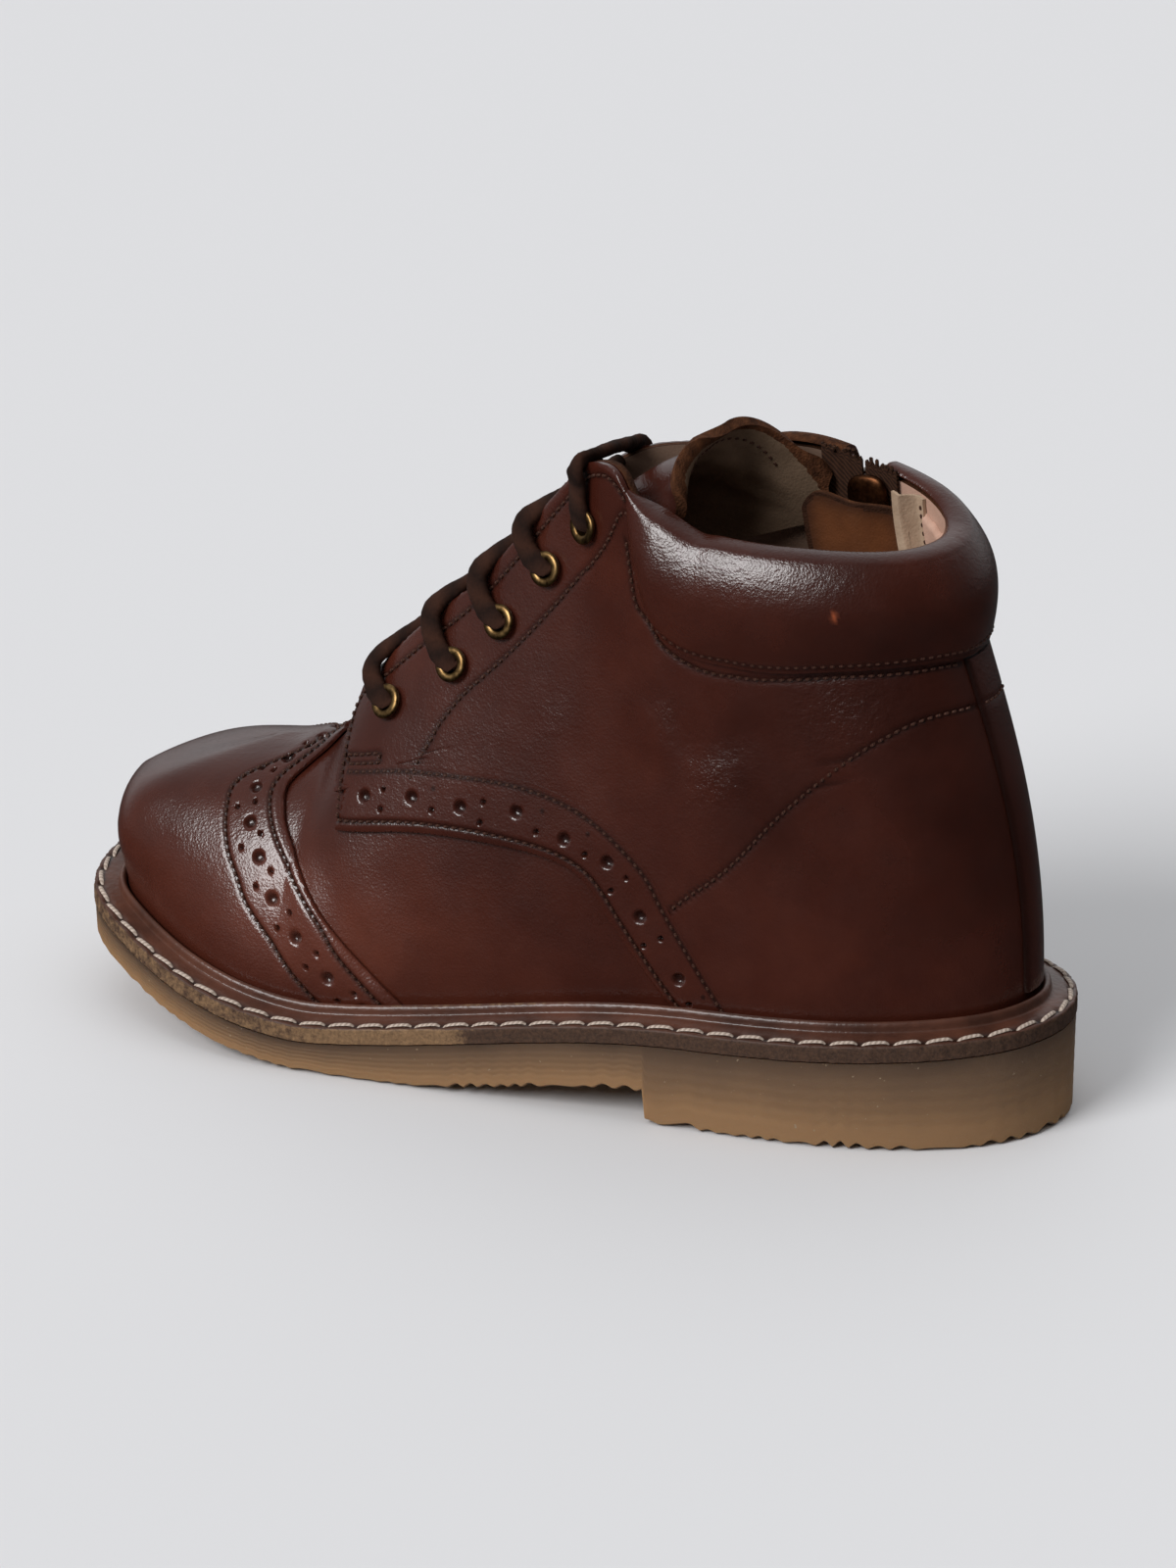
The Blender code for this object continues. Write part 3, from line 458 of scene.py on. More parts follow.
def cellsOf(tree, scale):
    return textureOf(tree, "ShaderNodeTexVoronoi", "Distance", Scale=scale)


def markOf(tree, name):
    made = tree.nodes.new("ShaderNodeAttribute")
    made.attribute_name = name
    return made.outputs["Fac"]


def mathOf(tree, operation, first, second, third=0.0):
    made = tree.nodes.new("ShaderNodeMath")
    made.operation = operation
    for socket, value in zip(made.inputs, (first, second, third)):
        if isinstance(value, (int, float)):
            socket.default_value = value
        else:
            tree.links.new(value, socket)
    return made.outputs["Value"]


def rampOf(tree, value, stops):
    made = tree.nodes.new("ShaderNodeValToRGB")
    tree.links.new(value, made.inputs["Fac"])
    while len(made.color_ramp.elements) < len(stops):
        made.color_ramp.elements.new(0.5)
    for element, (place, colour) in zip(made.color_ramp.elements, stops):
        element.position = place
        element.color = (*colour, 1.0) if isinstance(colour, tuple) else (colour, colour, colour, 1.0)
    return made.outputs["Color"]


def mixOf(tree, share, first, second):
    made = tree.nodes.new("ShaderNodeMix")
    made.data_type = "RGBA"
    tree.links.new(share, made.inputs[0])
    for socket, value in zip(made.inputs[6:8], (first, second)):
        if isinstance(value, tuple):
            socket.default_value = (*value, 1.0)
        else:
            tree.links.new(value, socket)
    return made.outputs[2]


def bumpOf(tree, height, distance, strength=1.0, below=None):
    made = tree.nodes.new("ShaderNodeBump")
    made.inputs["Distance"].default_value = distance
    made.inputs["Strength"].default_value = strength
    tree.links.new(height, made.inputs["Height"])
    if below is not None:
        tree.links.new(below, made.inputs["Normal"])
    return made.outputs["Normal"]


# Polished leather: cloudy mottling lifted by the tone mark (burnishing and painted light, up to glow),
# fine pebble grain; marks darken it (shade: painted shade in grooves and holes, the flap's own dark border),
# wrinkle it (crease) or chip it (fleck)
def leatherFinish(name, look):
    finish, tree, shader = newFinish(name)
    cloud = mathOf(tree, "MULTIPLY_ADD", noiseOf(tree, look["cloud"], 5.0, 0.6), 0.8, markOf(tree, "tone"))
    colour = rampOf(tree, cloud, [(0.14, look["dark"]), (0.40, look["mid"]), (0.62, look["light"]),
                                  (0.95, look["glow"])])
    colour = mixOf(tree, markOf(tree, "shade"), colour, look["paintedShadeAndDarkBorder"])
    scuff = rampOf(tree, noiseOf(tree, look["scuff"], 6.0, 0.75), [(0.66, 0.0), (0.80, 0.35)])
    colour = mixOf(tree, scuff, colour, look["rub"])
    tree.links.new(mixOf(tree, markOf(tree, "fleck"), colour, (0.30, 0.068, 0.024)), shader.inputs["Base Color"])
    pores = cellsOf(tree, look["grain"])
    pebble = noiseOf(tree, look["grain"] * 0.45, 3.0, 0.6)
    skin = mathOf(tree, "MULTIPLY_ADD", pores, 0.5, pebble)
    below = bumpOf(tree, skin, look["grainDepth"], 0.7)
    wrinkle = mathOf(tree, "MULTIPLY", noiseOf(tree, look["wrinkle"], 5.0, 0.65), markOf(tree, "crease"))
    tree.links.new(bumpOf(tree, wrinkle, look["wrinkleDepth"], 1.0, below), shader.inputs["Normal"])
    rough = mathOf(tree, "MULTIPLY_ADD", noiseOf(tree, 160.0, 3.0, 0.5), look["roughSpread"], look["rough"])
    tree.links.new(rough, shader.inputs["Roughness"])
    shader.inputs["Specular IOR Level"].default_value = look["specular"]
    return finish


upperLook = {
    "dark": (0.027, 0.0060, 0.0035), "mid": (0.048, 0.0108, 0.0062), "light": (0.074, 0.0175, 0.0096),
    "glow": (0.135, 0.0360, 0.0205), "paintedShadeAndDarkBorder": (0.007, 0.0024, 0.0018), "rub": (0.085, 0.028, 0.018),
    "cloud": 34.0, "scuff": 210.0, "grain": 2200.0, "grainDepth": 0.00009, "wrinkle": 520.0, "wrinkleDepth": 0.0004,
    "rough": 0.17, "roughSpread": 0.13, "specular": 0.68,
}
flapLook = dict(upperLook, dark=(0.070, 0.022, 0.008), mid=(0.130, 0.043, 0.014), light=(0.200, 0.070, 0.023),
                glow=(0.200, 0.070, 0.023), paintedShadeAndDarkBorder=(0.030, 0.011, 0.006), rough=0.52, specular=0.2, cloud=90.0)
leather = leatherFinish("red-brown leather", upperLook)
flapLeather = leatherFinish("brown flap leather", flapLook)


# Soft lining leather or board: faint mottling and a fine nap
def liningFinish(name, look):
    finish, tree, shader = newFinish(name)
    cloud = noiseOf(tree, look["cloud"], 5.0, 0.6)
    colour = rampOf(tree, cloud, [(0.32, look["dark"]), (0.70, look["light"])])
    tree.links.new(mixOf(tree, markOf(tree, "shade"), colour, look["darkened"]), shader.inputs["Base Color"])
    nap = mathOf(tree, "ADD", cellsOf(tree, look["nap"]), noiseOf(tree, look["nap"] * 0.5, 3.0, 0.6))
    tree.links.new(bumpOf(tree, nap, look["napDepth"], 0.7), shader.inputs["Normal"])
    shader.inputs["Roughness"].default_value = look["rough"]
    shader.inputs["Specular IOR Level"].default_value = 0.15
    return finish


paleLining = liningFinish("pale pink lining", {
    "dark": (0.45, 0.27, 0.20), "light": (0.62, 0.40, 0.31), "darkened": (0.13, 0.082, 0.056),
    "cloud": 90.0, "nap": 2600.0, "napDepth": 0.00006, "rough": 0.72})
beigeLining = liningFinish("beige facing", {
    "dark": (0.36, 0.25, 0.17), "light": (0.52, 0.38, 0.27), "darkened": (0.16, 0.09, 0.05),
    "cloud": 160.0, "nap": 1900.0, "napDepth": 0.00007, "rough": 0.65})
taupeLining = liningFinish("taupe lining", {
    "dark": (0.105, 0.067, 0.042), "light": (0.190, 0.127, 0.083), "darkened": (0.060, 0.036, 0.023),
    "cloud": 110.0, "nap": 2100.0, "napDepth": 0.00009, "rough": 0.62})
rawEdge = liningFinish("raw cut edge", {
    "dark": (0.034, 0.0120, 0.0052), "light": (0.112, 0.041, 0.0165), "darkened": (0.020, 0.008, 0.0045),
    "cloud": 520.0, "nap": 2400.0, "napDepth": 0.00020, "rough": 0.85})


# Plain thread or cord: twisted strands drawn across the marks along and turn
def cordFinish(name, dark, light, twist, depth, rough):
    finish, tree, shader = newFinish(name)
    lean = mathOf(tree, "MULTIPLY_ADD", markOf(tree, "along"), twist, markOf(tree, "turn"))
    lay = mathOf(tree, "PINGPONG", lean, 0.5)
    fuzz = noiseOf(tree, 1500.0, 4.0, 0.65)
    blend = mathOf(tree, "ADD", mathOf(tree, "MULTIPLY", lay, 1.1), mathOf(tree, "MULTIPLY", fuzz, 0.5))
    tree.links.new(rampOf(tree, blend, [(0.25, dark), (0.80, light)]), shader.inputs["Base Color"])
    tree.links.new(bumpOf(tree, blend, depth, 0.8), shader.inputs["Normal"])
    shader.inputs["Roughness"].default_value = rough
    shader.inputs["Specular IOR Level"].default_value = 0.22
    return finish


brownThread = cordFinish("dark brown thread", (0.020, 0.0078, 0.0052), (0.088, 0.0370, 0.0240), 1.6, 0.00005, 0.50)
creamThread = cordFinish("cream sole thread", (0.30, 0.235, 0.19), (0.58, 0.48, 0.41), 1.3, 0.00010, 0.50)
laceBraid = cordFinish("dark brown lace", (0.0115, 0.0039, 0.0019), (0.036, 0.0122, 0.0060), 0.55, 0.00025, 0.90)
tapeWeave = cordFinish("woven zip tape", (0.014, 0.0055, 0.0028), (0.056, 0.0225, 0.0108), 1.0, 0.00018, 0.90)


# Aged metal: brushed tone with darker blotches
def metalFinish(name, dark, light, rough):
    finish, tree, shader = newFinish(name)
    blotch = noiseOf(tree, 700.0, 4.0, 0.6)
    tree.links.new(rampOf(tree, blotch, [(0.34, dark), (0.62, light)]), shader.inputs["Base Color"])
    haze = mathOf(tree, "MULTIPLY_ADD", noiseOf(tree, 1400.0, 3.0, 0.5), 0.22, rough)
    tree.links.new(haze, shader.inputs["Roughness"])
    shader.inputs["Metallic"].default_value = 1.0
    return finish


agedBrass = metalFinish("antique brass", (0.095, 0.053, 0.020), (0.30, 0.185, 0.075), 0.25)
zipMetal = metalFinish("dull zip metal", (0.085, 0.070, 0.055), (0.30, 0.27, 0.23), 0.30)
brownMetal = metalFinish("brown coated metal", (0.055, 0.021, 0.009), (0.110, 0.043, 0.018), 0.26)


# Welt: shiny dark ledge; raw cut edge where marked edge, rubbed to tan where marked wear, painted shade in the
# stitch channel where marked shade
def weltFinish():
    finish, tree, shader = newFinish("welt leather")
    ledge = rampOf(tree, noiseOf(tree, 120.0, 4.0, 0.55),
                   [(0.34, (0.054, 0.0205, 0.0130)), (0.68, (0.108, 0.0400, 0.0240))])
    fibre = noiseOf(tree, 1700.0, 5.0, 0.7)
    raw = rampOf(tree, fibre, [(0.32, (0.030, 0.0130, 0.0068)), (0.70, (0.088, 0.040, 0.019))])
    tan = rampOf(tree, fibre, [(0.28, (0.100, 0.053, 0.0240)), (0.66, (0.255, 0.145, 0.067))])
    patch = mathOf(tree, "MULTIPLY_ADD", noiseOf(tree, 600.0, 5.0, 0.7), 0.9, markOf(tree, "wear"))
    share = rampOf(tree, patch, [(0.80, 0.0), (1.04, 1.0)])
    colour = mixOf(tree, markOf(tree, "edge"), ledge, raw)
    colour = mixOf(tree, share, colour, tan)
    tree.links.new(mixOf(tree, markOf(tree, "shade"), colour, (0.010, 0.005, 0.0035)), shader.inputs["Base Color"])
    grain = mathOf(tree, "MULTIPLY_ADD", fibre, markOf(tree, "edge"), noiseOf(tree, 900.0, 3.0, 0.5))
    tree.links.new(bumpOf(tree, grain, 0.00014, 0.8), shader.inputs["Normal"])
    rough = mathOf(tree, "MULTIPLY_ADD", markOf(tree, "edge"), 0.48, 0.30)
    tree.links.new(rough, shader.inputs["Roughness"])
    return finish


# Gum rubber: dark and grey near the welt (painted shade under the welt's overhang, with dirt), amber towards the
# tread, faint drawn lines round the side
def rubberFinish():
    finish, tree, shader = newFinish("gum rubber")
    tone = mathOf(tree, "MULTIPLY_ADD", noiseOf(tree, 55.0, 4.0, 0.6), 0.35, markOf(tree, "low"))
    colour = rampOf(tree, tone, [(0.10, (0.060, 0.036, 0.024)), (0.42, (0.150, 0.088, 0.050)),
                                 (0.75, (0.215, 0.122, 0.061)), (1.0, (0.285, 0.160, 0.075))])
    speck = rampOf(tree, noiseOf(tree, 1300.0, 2.0, 0.4), [(0.73, 0.0), (0.78, 1.0)])
    tree.links.new(mixOf(tree, speck, colour, (0.30, 0.22, 0.14)), shader.inputs["Base Color"])
    tree.links.new(bumpOf(tree, noiseOf(tree, 420.0, 5.0, 0.65), 0.00018, 0.6), shader.inputs["Normal"])
    shader.inputs["Roughness"].default_value = 0.42
    shader.inputs["Subsurface Weight"].default_value = 0.25
    shader.inputs["Subsurface Radius"].default_value = (0.005, 0.0028, 0.0014)
    shader.inputs["Subsurface Scale"].default_value = 1.0
    return finish


panelFinish = [leather, rawEdge, leather]
weltLeather = weltFinish()
gumRubber = rubberFinish()
print("finishes ready")


# Wing cap: rear folded edge, its stitch rows and its holes, all as (station, height) rows
cap = {
    "edgeHeight": [0.0, 0.10, 0.27, 0.49, 0.62, 0.72, 0.80, 0.88, 1.0],
    "edgeStation": [0.559, 0.578, 0.615, 0.668, 0.699, 0.712, 0.699, 0.679, 0.672],
    "rearStitch": [(0.572, 0.0), (0.592, 0.11), (0.619, 0.242), (0.633, 0.320), (0.649, 0.382), (0.675, 0.468),
                   (0.696, 0.536), (0.716, 0.614), (0.729, 0.688), (0.729, 0.745), (0.714, 0.82), (0.695, 0.90),
                   (0.688, 1.0)],
    "frontStitch": [(0.612, 0.0), (0.634, 0.10), (0.651, 0.163), (0.675, 0.247), (0.706, 0.328), (0.723, 0.39),
                    (0.743, 0.455), (0.760, 0.527), (0.776, 0.608), (0.789, 0.688), (0.782, 0.763),
                    (0.745, 0.843), (0.733, 0.873), (0.710, 0.96), (0.704, 1.0)],
    "large": [(0.722, 0.945), (0.743, 0.820), (0.754, 0.688), (0.733, 0.564), (0.706, 0.466), (0.680, 0.362),
              (0.652, 0.280), (0.625, 0.178), (0.600, 0.075)],
    "small": [(0.742, 0.900), (0.725, 0.885), (0.770, 0.770), (0.748, 0.762), (0.760, 0.606), (0.741, 0.634),
              (0.730, 0.480), (0.714, 0.534), (0.700, 0.382), (0.688, 0.434), (0.670, 0.288), (0.660, 0.340),
              (0.642, 0.202), (0.634, 0.246), (0.618, 0.105), (0.606, 0.128)],
    "hem": 0.03, "denseShare": 0.32, "denseColumns": 96, "columns": 24, "rows": 150, "pit": 0.95,
}
# Quarter: front edge, band, stitch rows and holes, as (station, height) rows
quarter = {
    "edgeHeight": [0.0, 0.13, 0.25, 0.33, 0.40, 0.46, 0.52, 0.58, 0.65, 0.85, 1.0],
    "edgeStation": [0.388, 0.415, 0.438, 0.456, 0.483, 0.521, 0.568, 0.626, 0.630, 0.629, 0.614],
    "bandLow": [(0.628, 0.578), (0.566, 0.517), (0.516, 0.453), (0.481, 0.395), (0.456, 0.333), (0.438, 0.247),
                (0.415, 0.133), (0.400, 0.060), (0.388, 0.0)],
    "bandHigh": [(0.619, 0.733), (0.542, 0.623), (0.496, 0.550), (0.461, 0.468), (0.430, 0.383), (0.409, 0.315),
                 (0.399, 0.258), (0.381, 0.163), (0.362, 0.058), (0.351, 0.0)],
    "large": [(0.602, 0.642), (0.566, 0.596), (0.532, 0.542), (0.494, 0.494), (0.464, 0.410), (0.436, 0.350),
              (0.416, 0.248), (0.393, 0.128)],
    "small": [(0.587, 0.640), (0.550, 0.598), (0.516, 0.536), (0.477, 0.474), (0.448, 0.404), (0.423, 0.318),
              (0.403, 0.206), (0.377, 0.094), (0.589, 0.594), (0.552, 0.554), (0.519, 0.498), (0.482, 0.442),
              (0.451, 0.372), (0.435, 0.300), (0.415, 0.194), (0.387, 0.074)],
    "facing": [(0.625, 0.60), (0.625, 0.692), (0.624, 0.784), (0.622, 0.866), (0.619, 0.924), (0.610, 0.958),
               (0.590, 0.942), (0.570, 0.938), (0.549, 0.941), (0.522, 0.943), (0.500, 0.950), (0.481, 0.955),
               (0.455, 0.960), (0.420, 0.968), (0.404, 0.970), (0.392, 0.974), (0.381, 0.967), (0.374, 0.968)],
    "eyestay": [(0.568, 0.632), (0.562, 0.666), (0.551, 0.704), (0.544, 0.730), (0.528, 0.764), (0.508, 0.782),
                (0.484, 0.792), (0.461, 0.798), (0.439, 0.810), (0.407, 0.834), (0.385, 0.905), (0.369, 0.965)],
    "barTack": [(0.622, 0.780), (0.606, 0.755), (0.591, 0.732), (0.591, 0.721), (0.591, 0.710), (0.605, 0.729),
                (0.618, 0.748), (0.620, 0.765), (0.622, 0.780)],
    "collarRow": [(0.384, 0.860), (0.386, 0.800), (0.386, 0.745), (0.376, 0.738), (0.361, 0.748), (0.342, 0.752),
                  (0.309, 0.735), (0.257, 0.729), (0.200, 0.720), (0.130, 0.703), (0.050, 0.688)],
    "counter": [(0.395, 0.258), (0.281, 0.478), (0.164, 0.580), (0.046, 0.583)],
    "wrinkles": [(0.215, 0.640, 9.0, 1.0), (0.329, 0.560, 6.0, 0.8), (0.374, 0.592, 5.0, 0.8),
                 (0.350, 0.500, 6.0, 0.6), (0.464, 0.612, 4.0, 0.4), (0.120, 0.640, 7.0, 0.5)],
    "lap": 0.72, "hem": 0.03, "bandRise": 0.05, "pit": 0.98,
}
holeRadius = {"large": 1.4, "small": 0.52}
# Collar: lower seam and the place on the top line above it, as (low station, low height, top station) rows
collar = {
    "rows": [(0.0, 0.705, 0.0), (0.05, 0.703, 0.05), (0.13, 0.722, 0.13), (0.196, 0.736, 0.196),
             (0.254, 0.746, 0.254), (0.304, 0.757, 0.301), (0.337, 0.774, 0.330), (0.354, 0.776, 0.344),
             (0.368, 0.770, 0.355), (0.3755, 0.780, 0.361), (0.3785, 0.800, 0.364), (0.3790, 0.825, 0.366)],
    "edge": 0.45, "pad": 4.0, "under": 1.9, "parting": 0.025, "columns": 34,
    "thinFrom": 0.3685, "thinRun": 0.026, "frontLift": (3.0, -0.8), "liftFrom": 0.310, "liftRun": 0.032,
    "stitchIn": 1.2, "tall": 95.0, "grooveShade": 0.7, "fleck": np.array([0.195, 0.886, 6.2]),
    "flatRoll": [(2.2, 0.3), (2.0, 0.45), (1.85, 0.4), (1.8, 0.3), (1.8, 0.2), (1.9, 0.1)],
    "roll": [(2.9, 1.0), (1.4, 1.75), (-0.5, 2.0), (-1.5, 1.6), (-1.6, 0.9), (1.9, 0.9)],
}
eyelets = {
    "station": np.array([0.583, 0.531, 0.494, 0.460, 0.424]),
    "height": np.array([0.850, 0.842, 0.860, 0.872, 0.884]),
    "radius": 2.45, "wire": 0.85, "flat": 0.6, "lift": 1.11, "hole": 1.7, "holeDeep": 1.05, "turns": 48,
    "barrel": [(1.6, -1.4), (1.75, -1.5), (2.4, -0.5), (3.1, -0.45)],
}
zipper = {"station": 0.24, "half": 0.015, "margin": 0.005, "foot": 0.30}
# Creases of wear: (station, height) rows on the side named, with trough depth and half width in millimetres
creases = [
    (False, [(0.600, 0.20), (0.618, 0.34), (0.640, 0.50)], 0.20, 3.0),
    (False, [(0.545, 0.10), (0.560, 0.26), (0.585, 0.42)], 0.14, 3.4),
    (False, [(0.300, 0.62), (0.345, 0.585), (0.385, 0.60)], 0.14, 2.6),
    (True, [(0.600, 0.20), (0.618, 0.34), (0.640, 0.50)], 0.20, 3.0),
    (True, [(0.545, 0.10), (0.560, 0.26), (0.585, 0.42)], 0.14, 3.4),
]


# Soft trough along each crease with a lower ridge on either side
def creaseRelief(points):
    relief = np.zeros(points.shape[:-1])
    for medial, rows, depth, width in creases:
        away = nearest(points, seamLine(rows, medial, 0.0, 0.8)["points"])
        relief += -depth * np.exp(-(away / width) ** 2) + 0.4 * depth * np.exp(-((away - 1.9 * width) / width) ** 2)
    return relief


def sideOf(station, medial):
    return 2 - station if medial else station


# Centres and radii of a panel's punched holes
def holesOf(look, medial, offset):
    centres = []
    radii = []
    for size, radius in holeRadius.items():
        rows = np.array(look[size])
        centres.append(layerPoint(sideOf(rows[:, 0], medial), rows[:, 1], offset))
        radii.append(np.full(len(rows), radius))
    return np.concatenate(centres), np.concatenate(radii)


seams = {side: [] for side in sideNames}
# Groove under a stitch row in millimetres; the painted shade in it, and in a punched hole of the given depth
seamGroove = {"deep": 0.26, "wide": 0.5, "dark": 0.85, "pitShade": 0.36, "pitDeep": 0.5}


def stitchGroove(distance):
    return groove(distance, seamGroove["deep"], seamGroove["wide"])


# Stitch row noted for later; its groove in the face is given back
def sewn(side, line, offset, face):
    place = (line["around"], line["height"])
    seams[side].append((layerPoint(*place, offset), upperNormal(*place)))
    return stitchGroove(nearest(face, layerPoint(*place, last["panelTop"])))


# Painted shade in stitch grooves and punched holes
def seamShade(stitch, pits):
    sewnShade = -seamGroove["dark"] * stitch / seamGroove["deep"]
    pitShade = -seamGroove["pitShade"] * pits / seamGroove["pitDeep"]
    return np.clip(np.maximum(sewnShade, pitShade), 0, seamGroove["dark"]).reshape(-1)


# Vamp, sides and heel as one wall, pale inside: offsets 0 and -wall from the upper's face, slit for the zip
def makeUpperWall():
    slit = zipper["station"] + np.array([-1, 1]) * zipper["half"]
    half = np.unique(np.concatenate([np.linspace(0, 1, 151), slit]))
    around = np.concatenate([half, 2 - half[-2:0:-1]])
    heights = np.linspace(0, 1, 61)
    base = upperPoint(around[:, None], heights[None, :])
    normal = upperNormal(around[:, None], heights[None, :])
    outer = base + normal * creaseRelief(base)[..., None]
    quads = gridQuads(len(around), len(heights), wrapRows=True)
    middle = np.repeat((around + np.roll(np.append(around, 2.0), -1)[:-1]) / 2, len(heights) - 1)
    tall = np.tile((heights[1:] + heights[:-1]) / 2, len(around))
    gone = (np.abs(middle - 2 + zipper["station"]) < zipper["half"]) & (tall > zipper["foot"])
    leaf = closedLeaf(outer, base - last["wall"] * normal, quads[~gone])
    station = stationOf(around)[:, None] + 0 * heights[None, :]
    # Lining inside made darker forward of the zip
    darkened = 0.9 * ease((station.reshape(-1)[leaf["first"]] - 0.25) / 0.03)
    return makeLeaf("upperWall", leaf, [leather, paleLining, rawEdge], "leather", ["upper"],
                    shade=np.concatenate([0 * darkened, darkened]))


# Wing cap over the toe: pits along the band, grooves under the stitch rows, rolled rear edge
def makeToeCap():
    heights = np.linspace(cap["hem"], 1, cap["rows"])
    edge = curveThrough(cap["edgeHeight"], cap["edgeStation"], heights)
    near = np.linspace(0, cap["denseShare"], cap["denseColumns"])
    share = np.concatenate([near, np.linspace(cap["denseShare"], 1, cap["columns"])[1:]])
    half = edge[None, :] + share[:, None] * (1 - edge[None, :])
    around = np.concatenate([half, 2 - half[-2::-1]])
    tall = np.broadcast_to(heights[None, :], around.shape)
    base = upperPoint(around, tall)
    normal = upperNormal(around, tall)
    face = base + last["panelTop"] * normal
    relief = creaseRelief(base)
    pits = np.zeros(around.shape)
    stitch = np.zeros(around.shape)
    for medial in (False, True):
        side = sideNames[medial]
        rearLine = seamLine(np.stack([edge, heights], -1)[::8], medial, last["panelTop"])
        relief += foldedEdge(nearest(face, rearLine["points"]))
        for rows in (cap["rearStitch"], cap["frontStitch"]):
            stitch += sewn(side, seamLine(rows, medial, last["panelTop"]), last["panelTop"], face)
        pits += punched(face, *holesOf(cap, medial, last["panelTop"]), cap["pit"])
    depth = np.maximum(relief + stitch + pits, last["gap"] - last["panel"] - 0.1)
    outer = face + normal * depth[..., None]
    inner = base + (last["panelTop"] - last["panel"]) * normal
    leaf = closedLeaf(outer, inner, gridQuads(*around.shape))
    # Painted shade darkens the stitch grooves and punched holes
    return makeLeaf("toeCap", leaf, panelFinish, "leather", ["toe_cap"],
                    shade=bothFaces(leaf, seamShade(stitch, pits)))


# Share 0 to 1 along both lines of a band, as even rows of (station, height)
def bandPath(rows, count):
    line = seamLine(rows, False, 0.0, 0.25)
    even = np.linspace(0, line["run"][-1], count)
    return np.stack([np.interp(even, line["run"], line[key]) for key in ("around", "height")], -1)


# Side panel from the back seam to the facing; its lower front lies under the brogue band
def makeQuarter(medial):
    side = sideNames[medial]
    heights = np.linspace(quarter["hem"], 1, 126)
    bandLow, bandHigh = (bandPath(quarter[name], 300) for name in ("bandLow", "bandHigh"))
    lap = bandLow * (1 - quarter["lap"]) + bandHigh * quarter["lap"]
    edge = curveThrough(quarter["edgeHeight"], quarter["edgeStation"], heights)
    under = np.interp(heights, lap[::-1, 1], lap[::-1, 0])
    edge = np.where(heights < lap[:, 1].max() - 0.01, under, edge)
    slit = zipper["station"] + np.array([-1, 1]) * (zipper["half"] + zipper["margin"])
    fixed = np.concatenate([np.linspace(0.003, slit[0], 36), np.linspace(slit[1], 0.31, 11)])
    share = np.linspace(0, 1, 116)[1:]
    station = np.concatenate([np.repeat(fixed[:, None], len(heights), 1),
                              0.31 + share[:, None] * (edge[None, :] - 0.31)])
    around = sideOf(station, medial)
    tall = np.broadcast_to(heights[None, :], around.shape)
    base = upperPoint(around, tall)
    normal = upperNormal(around, tall)
    face = base + last["panelTop"] * normal
    relief = creaseRelief(base)
    stitch = np.zeros(around.shape)
    for name in ("facing", "eyestay", "barTack", "counter"):
        stitch += sewn(side, seamLine(quarter[name], medial, last["panelTop"]), last["panelTop"], face)
    rows = np.array(quarter["collarRow"])
    for part in ((rows[rows[:, 0] > 0.262], rows[rows[:, 0] < 0.21]) if medial else (rows,)):
        stitch += sewn(side, seamLine(part, medial, last["panelTop"]), last["panelTop"], face)
    topLine = evenLine(sideOf(np.linspace(0.614, 0.368, 160), medial), np.ones(160), last["panelTop"])
    frontLine = evenLine(sideOf(edge[heights > 0.70], medial), heights[heights > 0.70], last["panelTop"])
    relief += rolledEdge(np.minimum(nearest(face, frontLine["points"]), nearest(face, topLine["points"])), 0.6)
    centres = layerPoint(sideOf(eyelets["station"], medial), eyelets["height"], last["panelTop"])
    holes = punched(face, centres, np.full(len(centres), eyelets["hole"]), eyelets["holeDeep"], 0.0)
    crease = np.zeros(around.shape)
    for place, high, reach, amount in quarter["wrinkles"]:
        centre = layerPoint(sideOf(place, medial), np.array(high), last["panelTop"])
        crease += amount * np.exp(-(np.linalg.norm(face - centre, axis=-1) / reach) ** 2)
    depth = np.maximum(relief + np.maximum(stitch, -0.3) + holes, 0.08 - last["panel"])
    outer = face + normal * depth[..., None]
    inner = base + (last["panelTop"] - last["panel"]) * normal
    quads = gridQuads(*around.shape)
    if medial:
        column = np.repeat(np.arange(len(station) - 1), len(heights) - 1)
        tallQuad = np.tile((heights[1:] + heights[:-1]) / 2, len(station) - 1)
        quads = quads[~((column == 35) & (tallQuad > zipper["foot"]))]
    leaf = closedLeaf(outer, inner, quads)
    # Painted shade in the stitch grooves, and painted dark standing in for the open eyelet holes
    shade = np.maximum(seamShade(stitch, 0 * holes), np.clip(-holes.reshape(-1), 0, 1))
    return makeLeaf("quarter" + side.capitalize(), leaf, panelFinish, "leather", ["quarter_" + side],
                    shade=bothFaces(leaf, shade), crease=bothFaces(leaf, np.clip(crease, 0, 1)))


